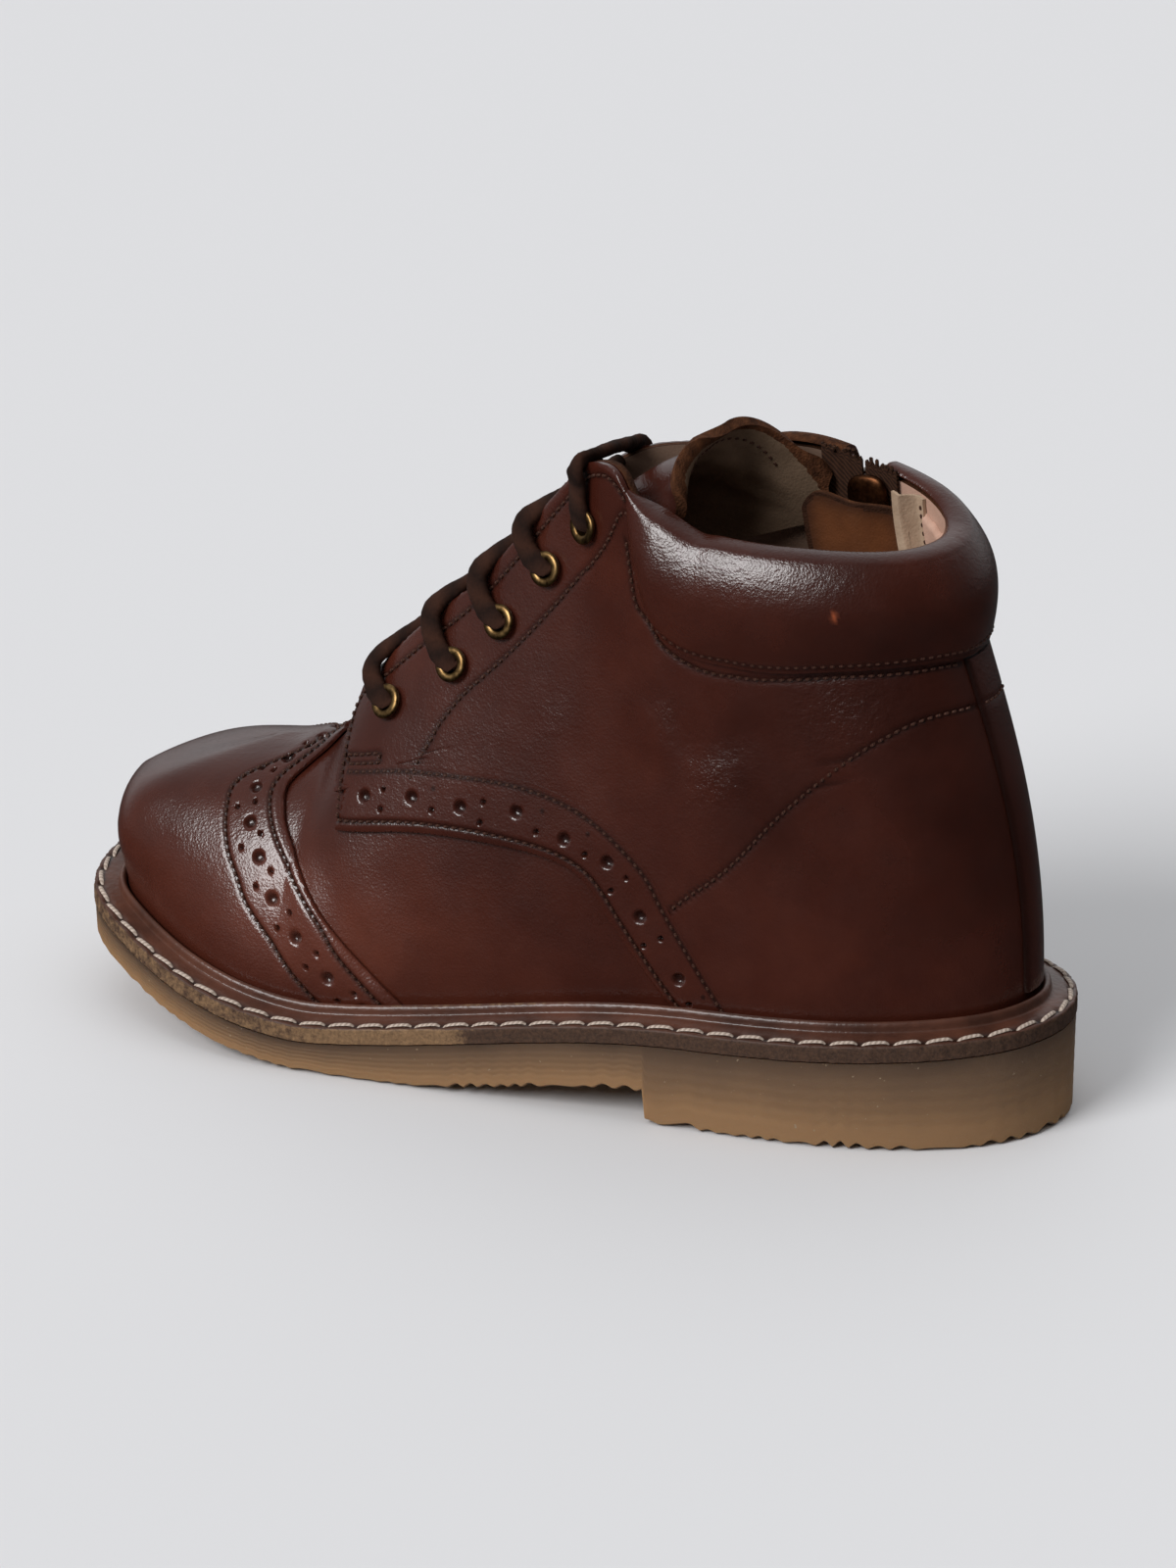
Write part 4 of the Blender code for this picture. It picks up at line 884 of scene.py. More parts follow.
# Brogue band on the quarter's front edge: a strip between two lines, folded along the front, flush with the quarter
def makeBrogueBand(medial):
    side = sideNames[medial]
    low = bandPath(quarter["bandLow"], 416)
    high = bandPath(quarter["bandHigh"], 416)
    w = np.linspace(0, 1.07, 40)
    path = low[:, None] * (1 - w[None, :, None]) + high[:, None] * w[None, :, None]
    around = sideOf(path[..., 0], medial)
    tall = np.clip(path[..., 1], quarter["hem"], 1)
    base = upperPoint(around, tall)
    normal = upperNormal(around, tall)
    top = last["panelTop"] + quarter["bandRise"]
    face = base + top * normal
    edges = [evenLine(around[:, 0], tall[:, 0], top), evenLine(around[0], tall[0], top)]
    relief = creaseRelief(base)
    relief += foldedEdge(nearest(face, np.concatenate([line["points"] for line in edges])))
    stitch = np.zeros(around.shape)
    for place in (0.17, 0.97):
        row = np.argmin(np.abs(w - place))
        stitch += sewn(side, evenLine(around[:, row], tall[:, row], top), top, face)
    relief += stitch
    pits = punched(face, *holesOf(quarter, medial, top), quarter["pit"])
    lapped = ease((w - 0.66) / 0.08)[None, :]
    floor = 0.4 + (last["panelTop"] + 0.01 - 0.4) * lapped
    depth = np.where(lapped > 0.5, np.maximum(relief, floor - top + 0.02),
                     np.maximum(relief + pits, floor - top + 0.04))
    outer = face + normal * depth[..., None]
    inner = base + floor[..., None] * normal
    leaf = closedLeaf(outer, inner, gridQuads(*around.shape))
    # Painted shade darkens the stitch grooves and punched holes
    return makeLeaf("brogueBand" + side.capitalize(), leaf, panelFinish, "leather", ["quarter_" + side],
                    shade=bothFaces(leaf, seamShade(stitch, pits)))


makeUpperWall()
makeToeCap()
for medialSide in (False, True):
    makeQuarter(medialSide)
    makeBrogueBand(medialSide)
print("upper panels ready")


# Narrow strip over the back seam, its edges rounded down to the quarters; the counter's stitch row crosses it
backStrip = {"half": 0.045, "foot": 0.05, "top": 0.695, "face": 2.5, "under": 1.65, "columns": 41, "rows": 90,
             "seamHeight": 0.584, "tall": 85.0, "seamCount": 60}


def makeBackStrip():
    share = np.linspace(-1, 1, backStrip["columns"])[:, None]
    around = 2 + backStrip["half"] * share
    heights = np.linspace(backStrip["foot"], backStrip["top"], backStrip["rows"])[None, :]
    base = upperPoint(around, heights)
    normal = upperNormal(around, heights)
    width = np.linalg.norm(base[-1] - base[0], axis=-1)[None, :] / 2
    seamRow = groove(np.abs(heights - backStrip["seamHeight"]) * backStrip["tall"], 0.15, 0.5)
    relief = rolledEdge((1 - np.abs(share)) * width, 0.8) + seamRow
    # Painted shade along the strip's rounded edges, where they meet the quarters
    edgeShade = 0.85 * np.exp(-((1 - np.abs(share)) * width / 0.8) ** 2)
    outer = base + normal * (backStrip["face"] + relief)[..., None]
    inner = base + backStrip["under"] * normal
    leaf = closedLeaf(outer, inner, gridQuads(backStrip["columns"], backStrip["rows"]))
    across = 2 + backStrip["half"] * np.linspace(-0.98, 0.98, backStrip["seamCount"])
    level = np.full(len(across), backStrip["seamHeight"])
    seams["lateral"].append((layerPoint(across, level, backStrip["face"]), upperNormal(across, level)))
    return makeLeaf("backStrip", leaf, panelFinish, "leather", ["back_strip"], shade=bothFaces(leaf, edgeShade))


# Faces turned outward: the sum of face normals against the way out from the rings' middles
def orient(loop, faces):
    points = loop.reshape(-1, 3)
    middle = np.repeat(loop.mean(1), loop.shape[1], 0)
    diagonal = np.cross(points[faces[:, 2]] - points[faces[:, 0]], points[faces[:, 3]] - points[faces[:, 1]])
    return faces if (diagonal * (points - middle)[faces[:, 0]]).sum() > 0 else faces[:, ::-1]


# Padded collar: a loop across it (outer bulge, roll over the rim, flat back) carried along its rows;
# the pad thins towards the front seam
def makeCollar(name, rows, count, replaced, rawTop=False):
    rows = np.array(rows, float)
    walk = np.linspace(0, len(rows) - 1, 40 * len(rows))
    path = curveThrough(np.arange(len(rows)), rows, walk)
    reach = np.concatenate([[0], np.cumsum(np.abs(np.diff(path[:, 0])) + 0.25 * np.abs(np.diff(path[:, 1])))])
    even = np.linspace(0, reach[-1], count)
    low, seam, high = (np.interp(even, reach, path[:, column]) for column in range(3))
    share = np.linspace(0, 1, collar["columns"])
    around = low[:, None] + share[None, :] * (high - low)[:, None]
    tall = seam[:, None] + share[None, :] * (1 - seam[:, None])
    front = stationOf(np.mod(high, 2))
    thin = ease((collar["thinFrom"] - front) / collar["thinRun"]) ** 0.6
    bulge = collar["edge"] + collar["pad"] * np.sin(np.pi * (share * 0.90 + 0.015)) ** 0.8
    bulge = collar["under"] + 0.35 + (bulge[None, :] - 0.35) * thin[:, None]
    normal = upperNormal(around, tall)
    row = collar["stitchIn"] / np.maximum((1 - seam[:, None]) * collar["tall"], 1)
    channel = stitchGroove((share[None, :] - row) / row * collar["stitchIn"])
    rim = upperPoint(high, np.ones(count))
    out = upperNormal(high, np.ones(count))
    up = unit(rim - upperPoint(high, np.full(count, 0.98)))
    lift = collar["frontLift"][int(rawTop)] * ease((front - collar["liftFrom"]) / collar["liftRun"])
    outer = upperPoint(around, tall) + (bulge + channel)[..., None] * normal
    outer = outer + (lift[:, None] * share[None, :] ** 2)[..., None] * up[:, None]
    at = np.argmin(np.abs(share - row.mean()))
    line = layerPoint(around[:, at], tall[:, at], (bulge + channel)[:, at])
    seams[sideNames[rawTop]].append((line, normal[:, at]))
    flat = np.array(collar["flatRoll"])
    full = np.array(collar["roll"])
    tips = flat[None] + (full - flat)[None] * thin[:, None, None]
    tips[:, :4, 1] += lift[:, None]
    first = outer[:, -1] - rim
    first = np.stack([(first * out).sum(-1), (first * up).sum(-1)], -1)
    tips = np.concatenate([first[:, None], tips], 1)
    rollAt = np.linspace(0, tips.shape[1] - 2, 22)[1:]
    roll = curveThrough(np.arange(tips.shape[1]), tips.transpose(1, 0, 2).reshape(tips.shape[1], -1), rollAt)
    roll = roll.reshape(len(rollAt), count, 2).transpose(1, 0, 2)
    over = rim[:, None] + roll[..., :1] * out[:, None] + roll[..., 1:] * up[:, None]
    backShare = np.array([1.0, 0.92, 0.7, 0.5, 0.25, 0.0])
    backAround = low[:, None] + backShare[None, :] * (high - low)[:, None]
    backTall = seam[:, None] + backShare[None, :] * (1 - seam[:, None])
    back = layerPoint(backAround, backTall, collar["under"])
    loop = np.concatenate([outer, over, back], 1)
    faces = orient(loop, tubeFaces(*loop.shape[:2]))
    fleck = np.zeros(loop.shape[:2])
    if not rawTop:
        spot = layerPoint(*collar["fleck"])
        away = (loop - spot) * np.array([1.0, 1.0, 0.45])
        fleck = np.clip(1.2 - np.linalg.norm(away, axis=-1) / 0.55, 0, 1)
    column = faces.min(1) % loop.shape[1]
    lastOuter = len(share) - 1
    kind = ((column > lastOuter) & (column < lastOuter + len(rollAt))).astype(int) if rawTop else None
    # Painted shade along the stitch channel of the outer face
    dark = np.zeros(loop.shape[:2])
    dark[:, :len(share)] = collar["grooveShade"] * np.clip(-channel / seamGroove["deep"], 0, 1)
    return makePiece(name, loop.reshape(-1, 3), faces, [leather, rawEdge], replaced, kind=kind,
                     marks={"fleck": fleck.reshape(-1), "shade": dark.reshape(-1),
                            "crease": np.full(dark.size, 0.3)})


# Rows of a collar piece between two places, one side or both
def collarRows(start, end, medial):
    rows = np.array(collar["rows"])
    places = np.concatenate([[start], rows[(rows[:, 0] > start) & (rows[:, 0] < end), 0], [end]])
    rows = np.stack([np.interp(places, rows[:, 0], rows[:, column]) for column in range(3)], -1)
    if medial:
        rows = rows[::-1] * np.array([-1, 1, -1]) + np.array([2, 0, 2])
    return rows


rearEnd = zipper["station"] - collar["parting"]
frontEnd = zipper["station"] + collar["parting"]
mainRows = np.concatenate([collarRows(0.0, rearEnd, True)[:-1],
                           collarRows(0.0, 0.379, False) + np.array([2, 0, 2])])
makeCollar("collarMain", mainRows, 190, ["collar"])
makeCollar("collarFront", collarRows(frontEnd, 0.379, True), 70, ["collar_front"], True)
makeBackStrip()
print("collar ready")


# Welt: a closed profile of (inset, height) rows carried once round; raw edge, stitched ledge, bead beside the upper
welt = {
    "profile": [(0.0, -3.2), (0.0, -2.6), (0.0, -2.0), (0.0, -1.4), (0.0, -0.9), (0.03, -0.5), (0.15, -0.2),
                (0.5, 0.0), (0.8, 0.05), (1.1, 0.10), (1.4, 0.15), (1.7, 0.19), (2.0, 0.24), (2.5, 0.33),
                (3.0, 0.41), (3.6, 0.5), (4.2, 0.6), (4.65, 0.7), (4.8, 0.95), (4.85, 1.5), (4.95, 2.05),
                (5.2, 2.45), (5.5, 2.6), (5.8, 2.48), (6.1, 2.2), (6.25, 1.8), (6.3, 1.4), (6.3, -0.5), (6.3, -3.2),
                (4.0, -3.2), (2.0, -3.2)],
    "stations": 900, "stitchInset": 1.3,
}
soleThread = {"pitch": 5.7, "length": 5.3, "radius": 0.45, "flat": 0.6, "lift": 0.18, "sink": 0.50, "slant": 0.30,
              "sides": 8, "rings": 11, "lay": 2.2}


def soleRun(inset, count=4000):
    around = np.linspace(0, 2, count + 1)
    return around, runAlong(insetPoint(around, inset, 0.0))


def makeWelt():
    around = np.linspace(0, 2, welt["stations"], endpoint=False)
    inset, height = np.array(welt["profile"]).T
    station = stationOf(around)
    onEdge = np.exp(-(inset / 0.35) ** 2) * (height < -0.1)
    waves = ((37, 0.3), (61, 1.9), (97, 4.1))
    waver = sum(np.sin(2 * np.pi * count * around / 2 + phase) for count, phase in waves) / 3
    fibre = chance.standard_normal((len(around), len(inset)))
    rough = onEdge[None, :] * (0.10 + 0.10 * waver[:, None] + 0.07 * fibre)
    walk, run = soleRun(welt["stitchInset"])
    count = int(run[-1] / soleThread["pitch"])
    pull = np.interp(around, walk, run) / run[-1] * count
    channel = np.exp(-((inset[None, :] - welt["stitchInset"]) / 0.7) ** 2) * (height > -0.3)
    between = (0.5 - 0.5 * np.cos(2 * np.pi * pull))[:, None] ** 4
    sunk = channel * (0.10 + 0.30 * between)
    loop = insetPoint(around[:, None], inset[None, :] + np.clip(rough, 0, 0.4),
                      height[None, :] - np.clip(sunk, 0, 1))
    faces = orient(loop, gridQuads(*loop.shape[:2], wrapRows=True, wrapCols=True))
    rawHere = np.clip(ease((-0.05 - height) / 0.3), 0, 1) * (inset < 1)
    rubbed = 1.0 * np.exp(-((station - 0.56) / 0.05) ** 2) + 0.75 * ease((station - 0.52) / 0.04)
    bead = np.exp(-((height - 2.5) / 0.35) ** 2) * (inset > 4)
    beadRub = 0.75 * np.exp(-((station - 0.52) / 0.09) ** 2)
    wear = rawHere[None, :] * 0.62 * rubbed[:, None] + bead[None, :] * 0.60 * beadRub[:, None]
    # Painted shade in the stitch channel, deepest between the stitches
    marks = {"edge": np.broadcast_to(rawHere, wear.shape).reshape(-1), "wear": wear.reshape(-1),
             "shade": (channel * (0.45 + 0.5 * between)).reshape(-1)}
    return makePiece("weltStrip", loop.reshape(-1, 3), faces, [weltLeather], ["welt"], marks=marks)


def makeSoleStitches():
    walk, run = soleRun(welt["stitchInset"])
    count = int(run[-1] / soleThread["pitch"])
    centre = np.arange(count) * run[-1] / count
    sides = soleThread["sides"]
    u = np.linspace(-1, 1, soleThread["rings"])
    along = np.mod(centre[:, None] + u[None, :] * soleThread["length"] / 2, run[-1])
    around = np.interp(along, run, walk)
    base = insetPoint(around, welt["stitchInset"], 0.10)
    tilt = unit(np.concatenate([0.16 * outlineNormal(around), np.ones(around.shape + (1,))], -1))
    points, faces = threadBeads(base, tilt, u, soleThread)
    turn = np.tile(np.arange(sides) / sides, len(points) // sides)
    lie = np.repeat(np.tile(u * soleThread["lay"], count), sides)
    return makePiece("soleStitches", points, faces, [creamThread],
                     marks={"turn": turn, "along": lie})


# Gum sole: a loop across each station (side wall, serrated foot, tread, other wall), lines drawn round the wall
sole = {"inset": 0.2, "top": -3.5, "tooth": 1.3, "round": 0.5, "footInset": 1.2, "reach": 6.0, "lines": 7.0,
        "stations": 460}


# Wavy lower edge: uneven teeth, strongest at heel and arch
def toothCut(around):
    walk, run = soleRun(1.0)
    along = np.interp(np.mod(around, 2.0), walk, run)
    station = stationOf(np.mod(around, 2))
    uneven = along + 2.1 * np.sin(along / 9.0) + 1.2 * np.sin(along / 3.7 + 1.0) + 0.5 * np.sin(along / 1.9)
    wave = 0.5 + 0.5 * np.cos(2 * np.pi * uneven / 4.1)
    strength = 1 - 0.62 * ease((station - 0.45) / 0.15)
    return sole["tooth"] * strength * wave ** 0.8 * (0.55 + 0.25 * np.sin(along / 5.7) + 0.20 * np.sin(along / 2.3))


def makeOutsole():
    breast = np.arccos(-2 * last["breastX"] / last["length"]) / np.pi
    station = np.linspace(0, 1, sole["stations"] + 1)
    station = np.sort(np.concatenate([station[np.abs(station - breast) > 0.002], [breast - 0.001, breast + 0.001]]))
    tread = treadHeight(outlinePoint(station)[:, 0])
    sides = []
    lows = []
    share = np.linspace(0, 1, 45)
    for around in (station, 2 - station):
        cut = toothCut(around)
        top = ledgeHeight(outlinePoint(around)[:, 0]) + sole["top"]
        foot = tread + sole["round"] + cut
        z = top[:, None] + share[None, :] * (foot - top)[:, None]
        sway = 0.6 * np.sin(around * 40)[:, None]
        lines = 0.035 * (1 + np.sin(2 * np.pi * sole["lines"] * share[None, :] + sway))
        inset = sole["inset"] * (1 + share[None, :]) + lines * np.sin(np.pi * share)[None, :]
        wall = insetPoint(around[:, None], inset, 0.0)
        wall[..., 2] = z
        bottom = []
        for place, keep in ((sole["footInset"], 1.0), (2.6, 0.8), (4.2, 0.45), (sole["reach"], 0.0)):
            row = insetPoint(around, place, 0.0)
            row[:, 2] = tread + keep * cut
            bottom.append(row)
        sides.append(np.concatenate([wall, np.stack(bottom, 1)], 1))
        lows.append(np.concatenate([np.broadcast_to(share, z.shape), np.ones((len(station), 4))], 1))
    loop = np.concatenate([sides[0], sides[1][:, ::-1]], 1)
    low = np.concatenate([lows[0], lows[1][:, ::-1]], 1)
    flat = loop.reshape(-1, 3)
    first, back = welded(flat)
    faces = back[orient(loop, gridQuads(*loop.shape[:2], wrapCols=True))]
    return makePiece("gumSole", flat[first], faces, [gumRubber], ["outsole"],
                     marks={"low": low.reshape(-1)[first]})


# Insole board: a four-cornered loop across each station
insole = {"inset": 11.2, "top": -0.2, "low": -3.2, "stations": 81}


def makeInsole():
    station = np.linspace(0, 1, insole["stations"])
    loop = np.stack([insetPoint(around, insole["inset"], insole[level]) for around, level in
                     ((station, "top"), (station, "low"), (2 - station, "low"), (2 - station, "top"))], 1)
    flat = loop.reshape(-1, 3)
    first, back = welded(flat)
    faces = back[orient(loop, gridQuads(*loop.shape[:2], wrapCols=True))]
    return makePiece("insoleBoard", flat[first], faces, [paleLining], ["insole"])


makeWelt()
makeSoleStitches()
makeOutsole()
makeInsole()
print("sole ready")


# Tongue: crest (x, y, z), then half width, hang and lie-back of its lateral side and of its medial side
tongue = {
    "rows": [(45.0, 0.0, 50.5, 11.0, 4.5, 0.0, 11.0, 4.5, 0.0), (37.5, 0.0, 63.0, 11.5, 8.0, 0.0, 11.5, 8.0, 0.0),
             (25.0, 0.0, 77.6, 11.0, 10.5, 0.0, 11.0, 10.5, 0.0),
             (14.0, 0.0, 88.2, 10.5, 11.0, 0.0, 10.5, 11.0, 0.0),
             (4.0, 0.0, 98.4, 10.2, 11.0, 1.0, 10.4, 11.5, 3.0),
             (-5.0, 0.0, 106.5, 10.6, 9.5, 4.0, 12.2, 12.0, 11.0),
             (-14.0, 0.0, 113.5, 13.0, 8.5, 7.0, 16.6, 13.0, 20.0),
             (-20.5, 0.0, 117.5, 14.5, 6.0, 4.0, 17.2, 14.0, 20.0),
             (-25.0, -0.5, 121.5, 14.3, 5.5, -2.2, 16.4, 13.0, 16.0),
             (-27.5, -1.0, 123.6, 12.3, 3.2, -6.0, 15.2, 12.0, 11.5)],
    "thick": 2.0, "border": 1.2, "borderFrom": 106.0, "corner": 0.32, "stitchIn": 4.2, "along": 130, "across": 71,
}


# Value of a grid between its points: whole row and column, and the part beyond each
def blended(grid, low, part):
    row, column = low
    here = grid[row, column] * (1 - part[0]) + grid[row + 1, column] * part[0]
    beside = grid[row, column + 1] * (1 - part[0]) + grid[row + 1, column + 1] * part[0]
    return here * (1 - part[1]) + beside * part[1]


# Each row is an arch over the crest, broader at the top: out by the half width, down by the hang,
# back by the lie-back
def makeTongue():
    rows = np.array(tongue["rows"], float)
    fine = np.linspace(0, len(rows) - 1, tongue["along"])
    x, y, z, *sides = curveThrough(np.arange(len(rows)), rows, fine).T[:, :, None]
    a = np.linspace(-1, 1, tongue["across"])[None, :]
    a = np.where(a > 0, a * (1 - tongue["corner"] * np.clip((fine[:, None] - 7.4) / 1.6, 0, 1) ** 2.2), a)
    half, sag, lean = (np.where(a > 0, sides[k], sides[k + 3]) for k in range(3))
    broad = np.abs(a) ** (2 + np.where(a > 0, 1.5, 1.2) * ease((fine[:, None] - 6.5) / 2))
    outer = np.stack([x - lean * a ** 2, y + half * a, z - sag * broad], -1)
    normal = unit(np.cross(np.gradient(outer, axis=1), np.gradient(outer, axis=0)))
    normal *= np.sign(normal[40, 35, 2])
    border = np.concatenate([outer[:, 0], outer[-1], outer[::-1, -1]])
    inward = nearest(outer, border)
    b = fine[:, None]
    wrinkle = np.sin(9 * a + 3.1 * b) * np.sin(6.3 * b - 4 * a) + 0.5 * np.sin(19 * a - 8 * b)
    crumple = 0.22 * wrinkle * ease((fine[:, None] - 5) / 1.5) * ease((inward - 3) / 3)
    inner = outer - normal * (tongue["thick"] - np.clip(crumple, -0.35, 0.35))[..., None]
    ripple = 0.10 * np.sin(23 * fine)[:, None] * np.exp(-(inward / 1.5) ** 2)
    outer = outer - normal * np.abs(ripple)[..., None]
    quads = gridQuads(tongue["along"], tongue["across"])
    leaf = closedLeaf(outer, inner, quads)
    near = inward.reshape(-1)[quads].mean(1) < tongue["border"]
    kind = leaf["kind"].copy()
    kind[len(quads):2 * len(quads)][near] = 2
    tops = leaf["points"][np.asarray(leaf["faces"])][..., 2].mean(1)
    kind[(kind == 2) & (tops < tongue["borderFrom"])] = 1
    stay = np.linspace(-0.74, 0.74, 240)
    row = np.interp(tongue["stitchIn"], inward[::-1, 35], np.arange(tongue["along"]))
    level = tongue["along"] - 1 - row - 34 * np.abs(stay) ** 6
    at = [np.clip(level, 0, tongue["along"] - 1.001), (stay + 1) / 2 * (tongue["across"] - 1)]
    low = [axis.astype(int) for axis in at]
    part = [(axis - whole)[:, None] for axis, whole in zip(at, low)]
    seams["medial"].append((blended(inner, low, part), -unit(blended(normal, low, part))))
    return makeLeaf("tongueLeaf", leaf, [leather, taupeLining, rawEdge], "tongue_leather", ["tongue"], kind)


# Eyelet: a flattened ring turned round the hole, with a short barrel down into the leather
def makeEyelets():
    turn = np.linspace(0, 2 * np.pi, eyelets["turns"], endpoint=False)
    barrelOut, barrelRise = np.array(eyelets["barrel"]).T
    arc = np.linspace(-0.15 * np.pi, 1.0 * np.pi, 14)
    radius = np.concatenate([eyelets["radius"] + eyelets["wire"] * np.cos(arc), barrelOut])
    rise = np.concatenate([eyelets["flat"] * eyelets["wire"] * np.sin(arc), barrelRise])
    for medial in (False, True):
        side = sideNames[medial]
        around = sideOf(eyelets["station"], medial)
        out = upperNormal(around, eyelets["height"])
        centre = layerPoint(around, eyelets["height"], last["panelTop"]) + eyelets["lift"] * out
        for number in range(len(around)):
            across = unit(np.cross(out[number], [0.0, 0.0, 1.0]))
            along = np.cross(out[number], across)
            spin = np.cos(turn)[:, None] * across + np.sin(turn)[:, None] * along
            ring = centre[number] + radius[None, :, None] * spin[:, None] + rise[None, :, None] * out[number]
            faces = gridQuads(eyelets["turns"], len(radius), wrapRows=True, wrapCols=True)
            makePiece(f"eyelet{side.capitalize()}{number + 1}", ring.reshape(-1, 3), orient(ring, faces),
                      [agedBrass],
                      [f"eyelet_{side}_{number + 1}"])


makeTongue()
makeEyelets()
print("tongue and eyelets ready")


# Lace: flat braid, half width and half thickness; each strand leaves an eyelet, crosses and dives
# under the far facing
lace = {"wide": 2.1, "thick": 1.2, "lift": 3.2, "edgeLift": 3.2, "swing": 0.008, "tuck": 0.62, "dip": (0.5, -0.9),
        "tabSide": (0.417, 0.96), "tabTop": (0.412, 1.0), "arch": 1.6, "sides": 14, "step": 0.45}


# Flat tube along a path with a facing direction at each point; marks run along it and round it
def flatTube(path, facing, look):
    knots = np.arange(len(path))
    fine = np.linspace(0, len(path) - 1, 60 * len(path))
    dense = curveThrough(knots, path, fine)
    run = runAlong(dense)
    even = np.linspace(0, run[-1], int(run[-1] / look["step"]))
    spot = np.stack([np.interp(even, run, dense[:, axis]) for axis in range(3)], -1)
    face = curveThrough(knots, facing, np.interp(even, run, fine))
    tangent = unit(np.gradient(spot, axis=0))
    face = unit(face - (face * tangent).sum(-1, keepdims=True) * tangent)
    side = np.cross(face, tangent)
    turn = np.linspace(0, 2 * np.pi, look["sides"], endpoint=False)
    flatten = np.sign(np.sin(turn)) * np.abs(np.sin(turn)) ** 0.75
    swell = 1 + 0.035 * np.sin(even * 4.1)[:, None] * np.cos(2 * turn)[None, :] + 0.03 * np.sin(even * 1.3)[:, None]
    ring = look["wide"] * np.cos(turn)[:, None] * side[:, None] + look["thick"] * flatten[:, None] * face[:, None]
    points = spot[:, None] + ring * swell[..., None]
    marks = {"along": np.repeat(even / (2 * look["wide"]), look["sides"]),
             "turn": np.tile(np.arange(look["sides"]) / look["sides"], len(spot))}
    return points, tubeFaces(len(spot), look["sides"]), marks


# Several tubes as one set of points, faces and marks
def joinedTubes(tubes):
    points, faces = joined([tube[:2] for tube in tubes])
    return points, faces, {key: np.concatenate([tube[2][key] for tube in tubes]) for key in ("along", "turn")}


def laceStop(medial, station, height, lift):
    around = sideOf(np.array(station), medial)
    return layerPoint(around, np.array(height), np.array(lift)), upperNormal(around, np.array(height))


def makeLaces():
    low = list(zip(eyelets["station"], eyelets["height"]))
    front = unit(np.array([0.45, 0.0, 1.0]))
    for number in range(4):
        tubes = []
        for medial in (False, True):
            here, there = low[number], low[number + 1]
            inside, out = laceStop(medial, *here, -0.8)
            mouth, _ = laceStop(medial, here[0], here[1] + 0.004, 2.4)
            start, _ = laceStop(medial, here[0] + lace["swing"], here[1] + 0.055, 3.0)
            leave, edgeOut = laceStop(medial, here[0] + lace["swing"], 1.0, lace["edgeLift"])
            end, _ = laceStop(not medial, there[0], 1.0, 0.0)
            end = end * np.array([1.0, lace["tuck"], 1.0])
            middle = 0.55 * leave + 0.45 * end + np.array([0.0, 0.0, lace["dip"][medial]])
            path = np.stack([inside, mouth, start, leave, middle, end])
            facing = np.stack([front, unit(out + front), out, edgeOut, front, front])
            tubes.append(flatTube(path, facing, lace))
        points, faces, marks = joinedTubes(tubes)
        makePiece(f"laceCrossing{number + 1}", points, faces, [laceBraid], [f"lace_crossing_{number + 1}"],
                  marks=marks)
    stops = [(*low[4], -0.8), (low[4][0], low[4][1] + 0.004, 2.4), (low[4][0] - 0.002, low[4][1] + 0.04, 3.2),
             (*lace["tabSide"], lace["lift"]), (*lace["tabTop"], lace["lift"])]
    lateral = [laceStop(False, *stop) for stop in stops]
    medial = [laceStop(True, *stop) for stop in stops[::-1]]
    crest = (lateral[-1][0] + medial[0][0]) / 2 + np.array([-1.0, 0.0, lace["arch"]])
    path = np.stack([point for point, _ in lateral] + [crest] + [point for point, _ in medial])
    facing = np.stack([out for _, out in lateral] + [np.array([0.3, 0.0, 1.0])] + [out for _, out in medial])
    facing[0] = facing[-1] = front
    points, faces, marks = flatTube(path, facing, lace)
    makePiece("laceBar", points.reshape(-1, 3), faces, [laceBraid], ["lace_bar"], marks=marks)


makeLaces()
print("lace ready")


# Zip on the medial side: woven tapes, teeth, slider with its back plate, hanging pull tab
zipper.update({
    "tapeHalf": 0.045, "tapeGap": 0.002, "tapeDepth": 2.1, "tapeThick": 0.7, "tapeEnd": 2.0, "ribs": 4,
    "chainMid": -0.6, "teeth": 36,
    "sliderHeight": 0.93, "slider": (6.6, 3.0, 9.0), "sliderLift": 2.0, "ear": (0.6, 2.4, 2.9), "earFoot": 0.7,
    "earTop": 3.6, "plate": (4.1, 1.1, 4.6), "plateLift": -3.9, "pinLift": 5.0, "pull": (2.3, 0.6),
    "pullTop": 0.6, "pullEnd": -14.4,
})


# Place on the zip's middle line with its directions along, outward and across
def zipFrame(height, offset):
    height = np.asarray(height, float)
    around = np.full(height.shape, 2.0 - zipper["station"])
    out = upperNormal(around, height)
    up = unit(upperPoint(around, height + 0.01) - upperPoint(around, height - 0.01))
    return layerPoint(around, height, offset), up, out, np.cross(out, up)


# Rounded block: sections along one direction, each a superellipse |across|^n + |deep|^n = 1 scaled by its row
def roundedBlock(centre, axes, rows, power=4.0, sides=24):
    turn = np.linspace(0, 2 * np.pi, sides, endpoint=False)
    square = (np.abs(np.cos(turn)) ** power + np.abs(np.sin(turn)) ** power) ** (-1 / power)
    rows = np.array(rows, float)
    across, deep, along = axes
    ring = rows[:, None, 1:2] * (square * np.cos(turn))[None, :, None] * across
    ring = ring + rows[:, None, 2:3] * (square * np.sin(turn))[None, :, None] * deep
    points = centre + ring + rows[:, None, 0:1] * along
    return points, orient(points, tubeFaces(len(rows), sides))


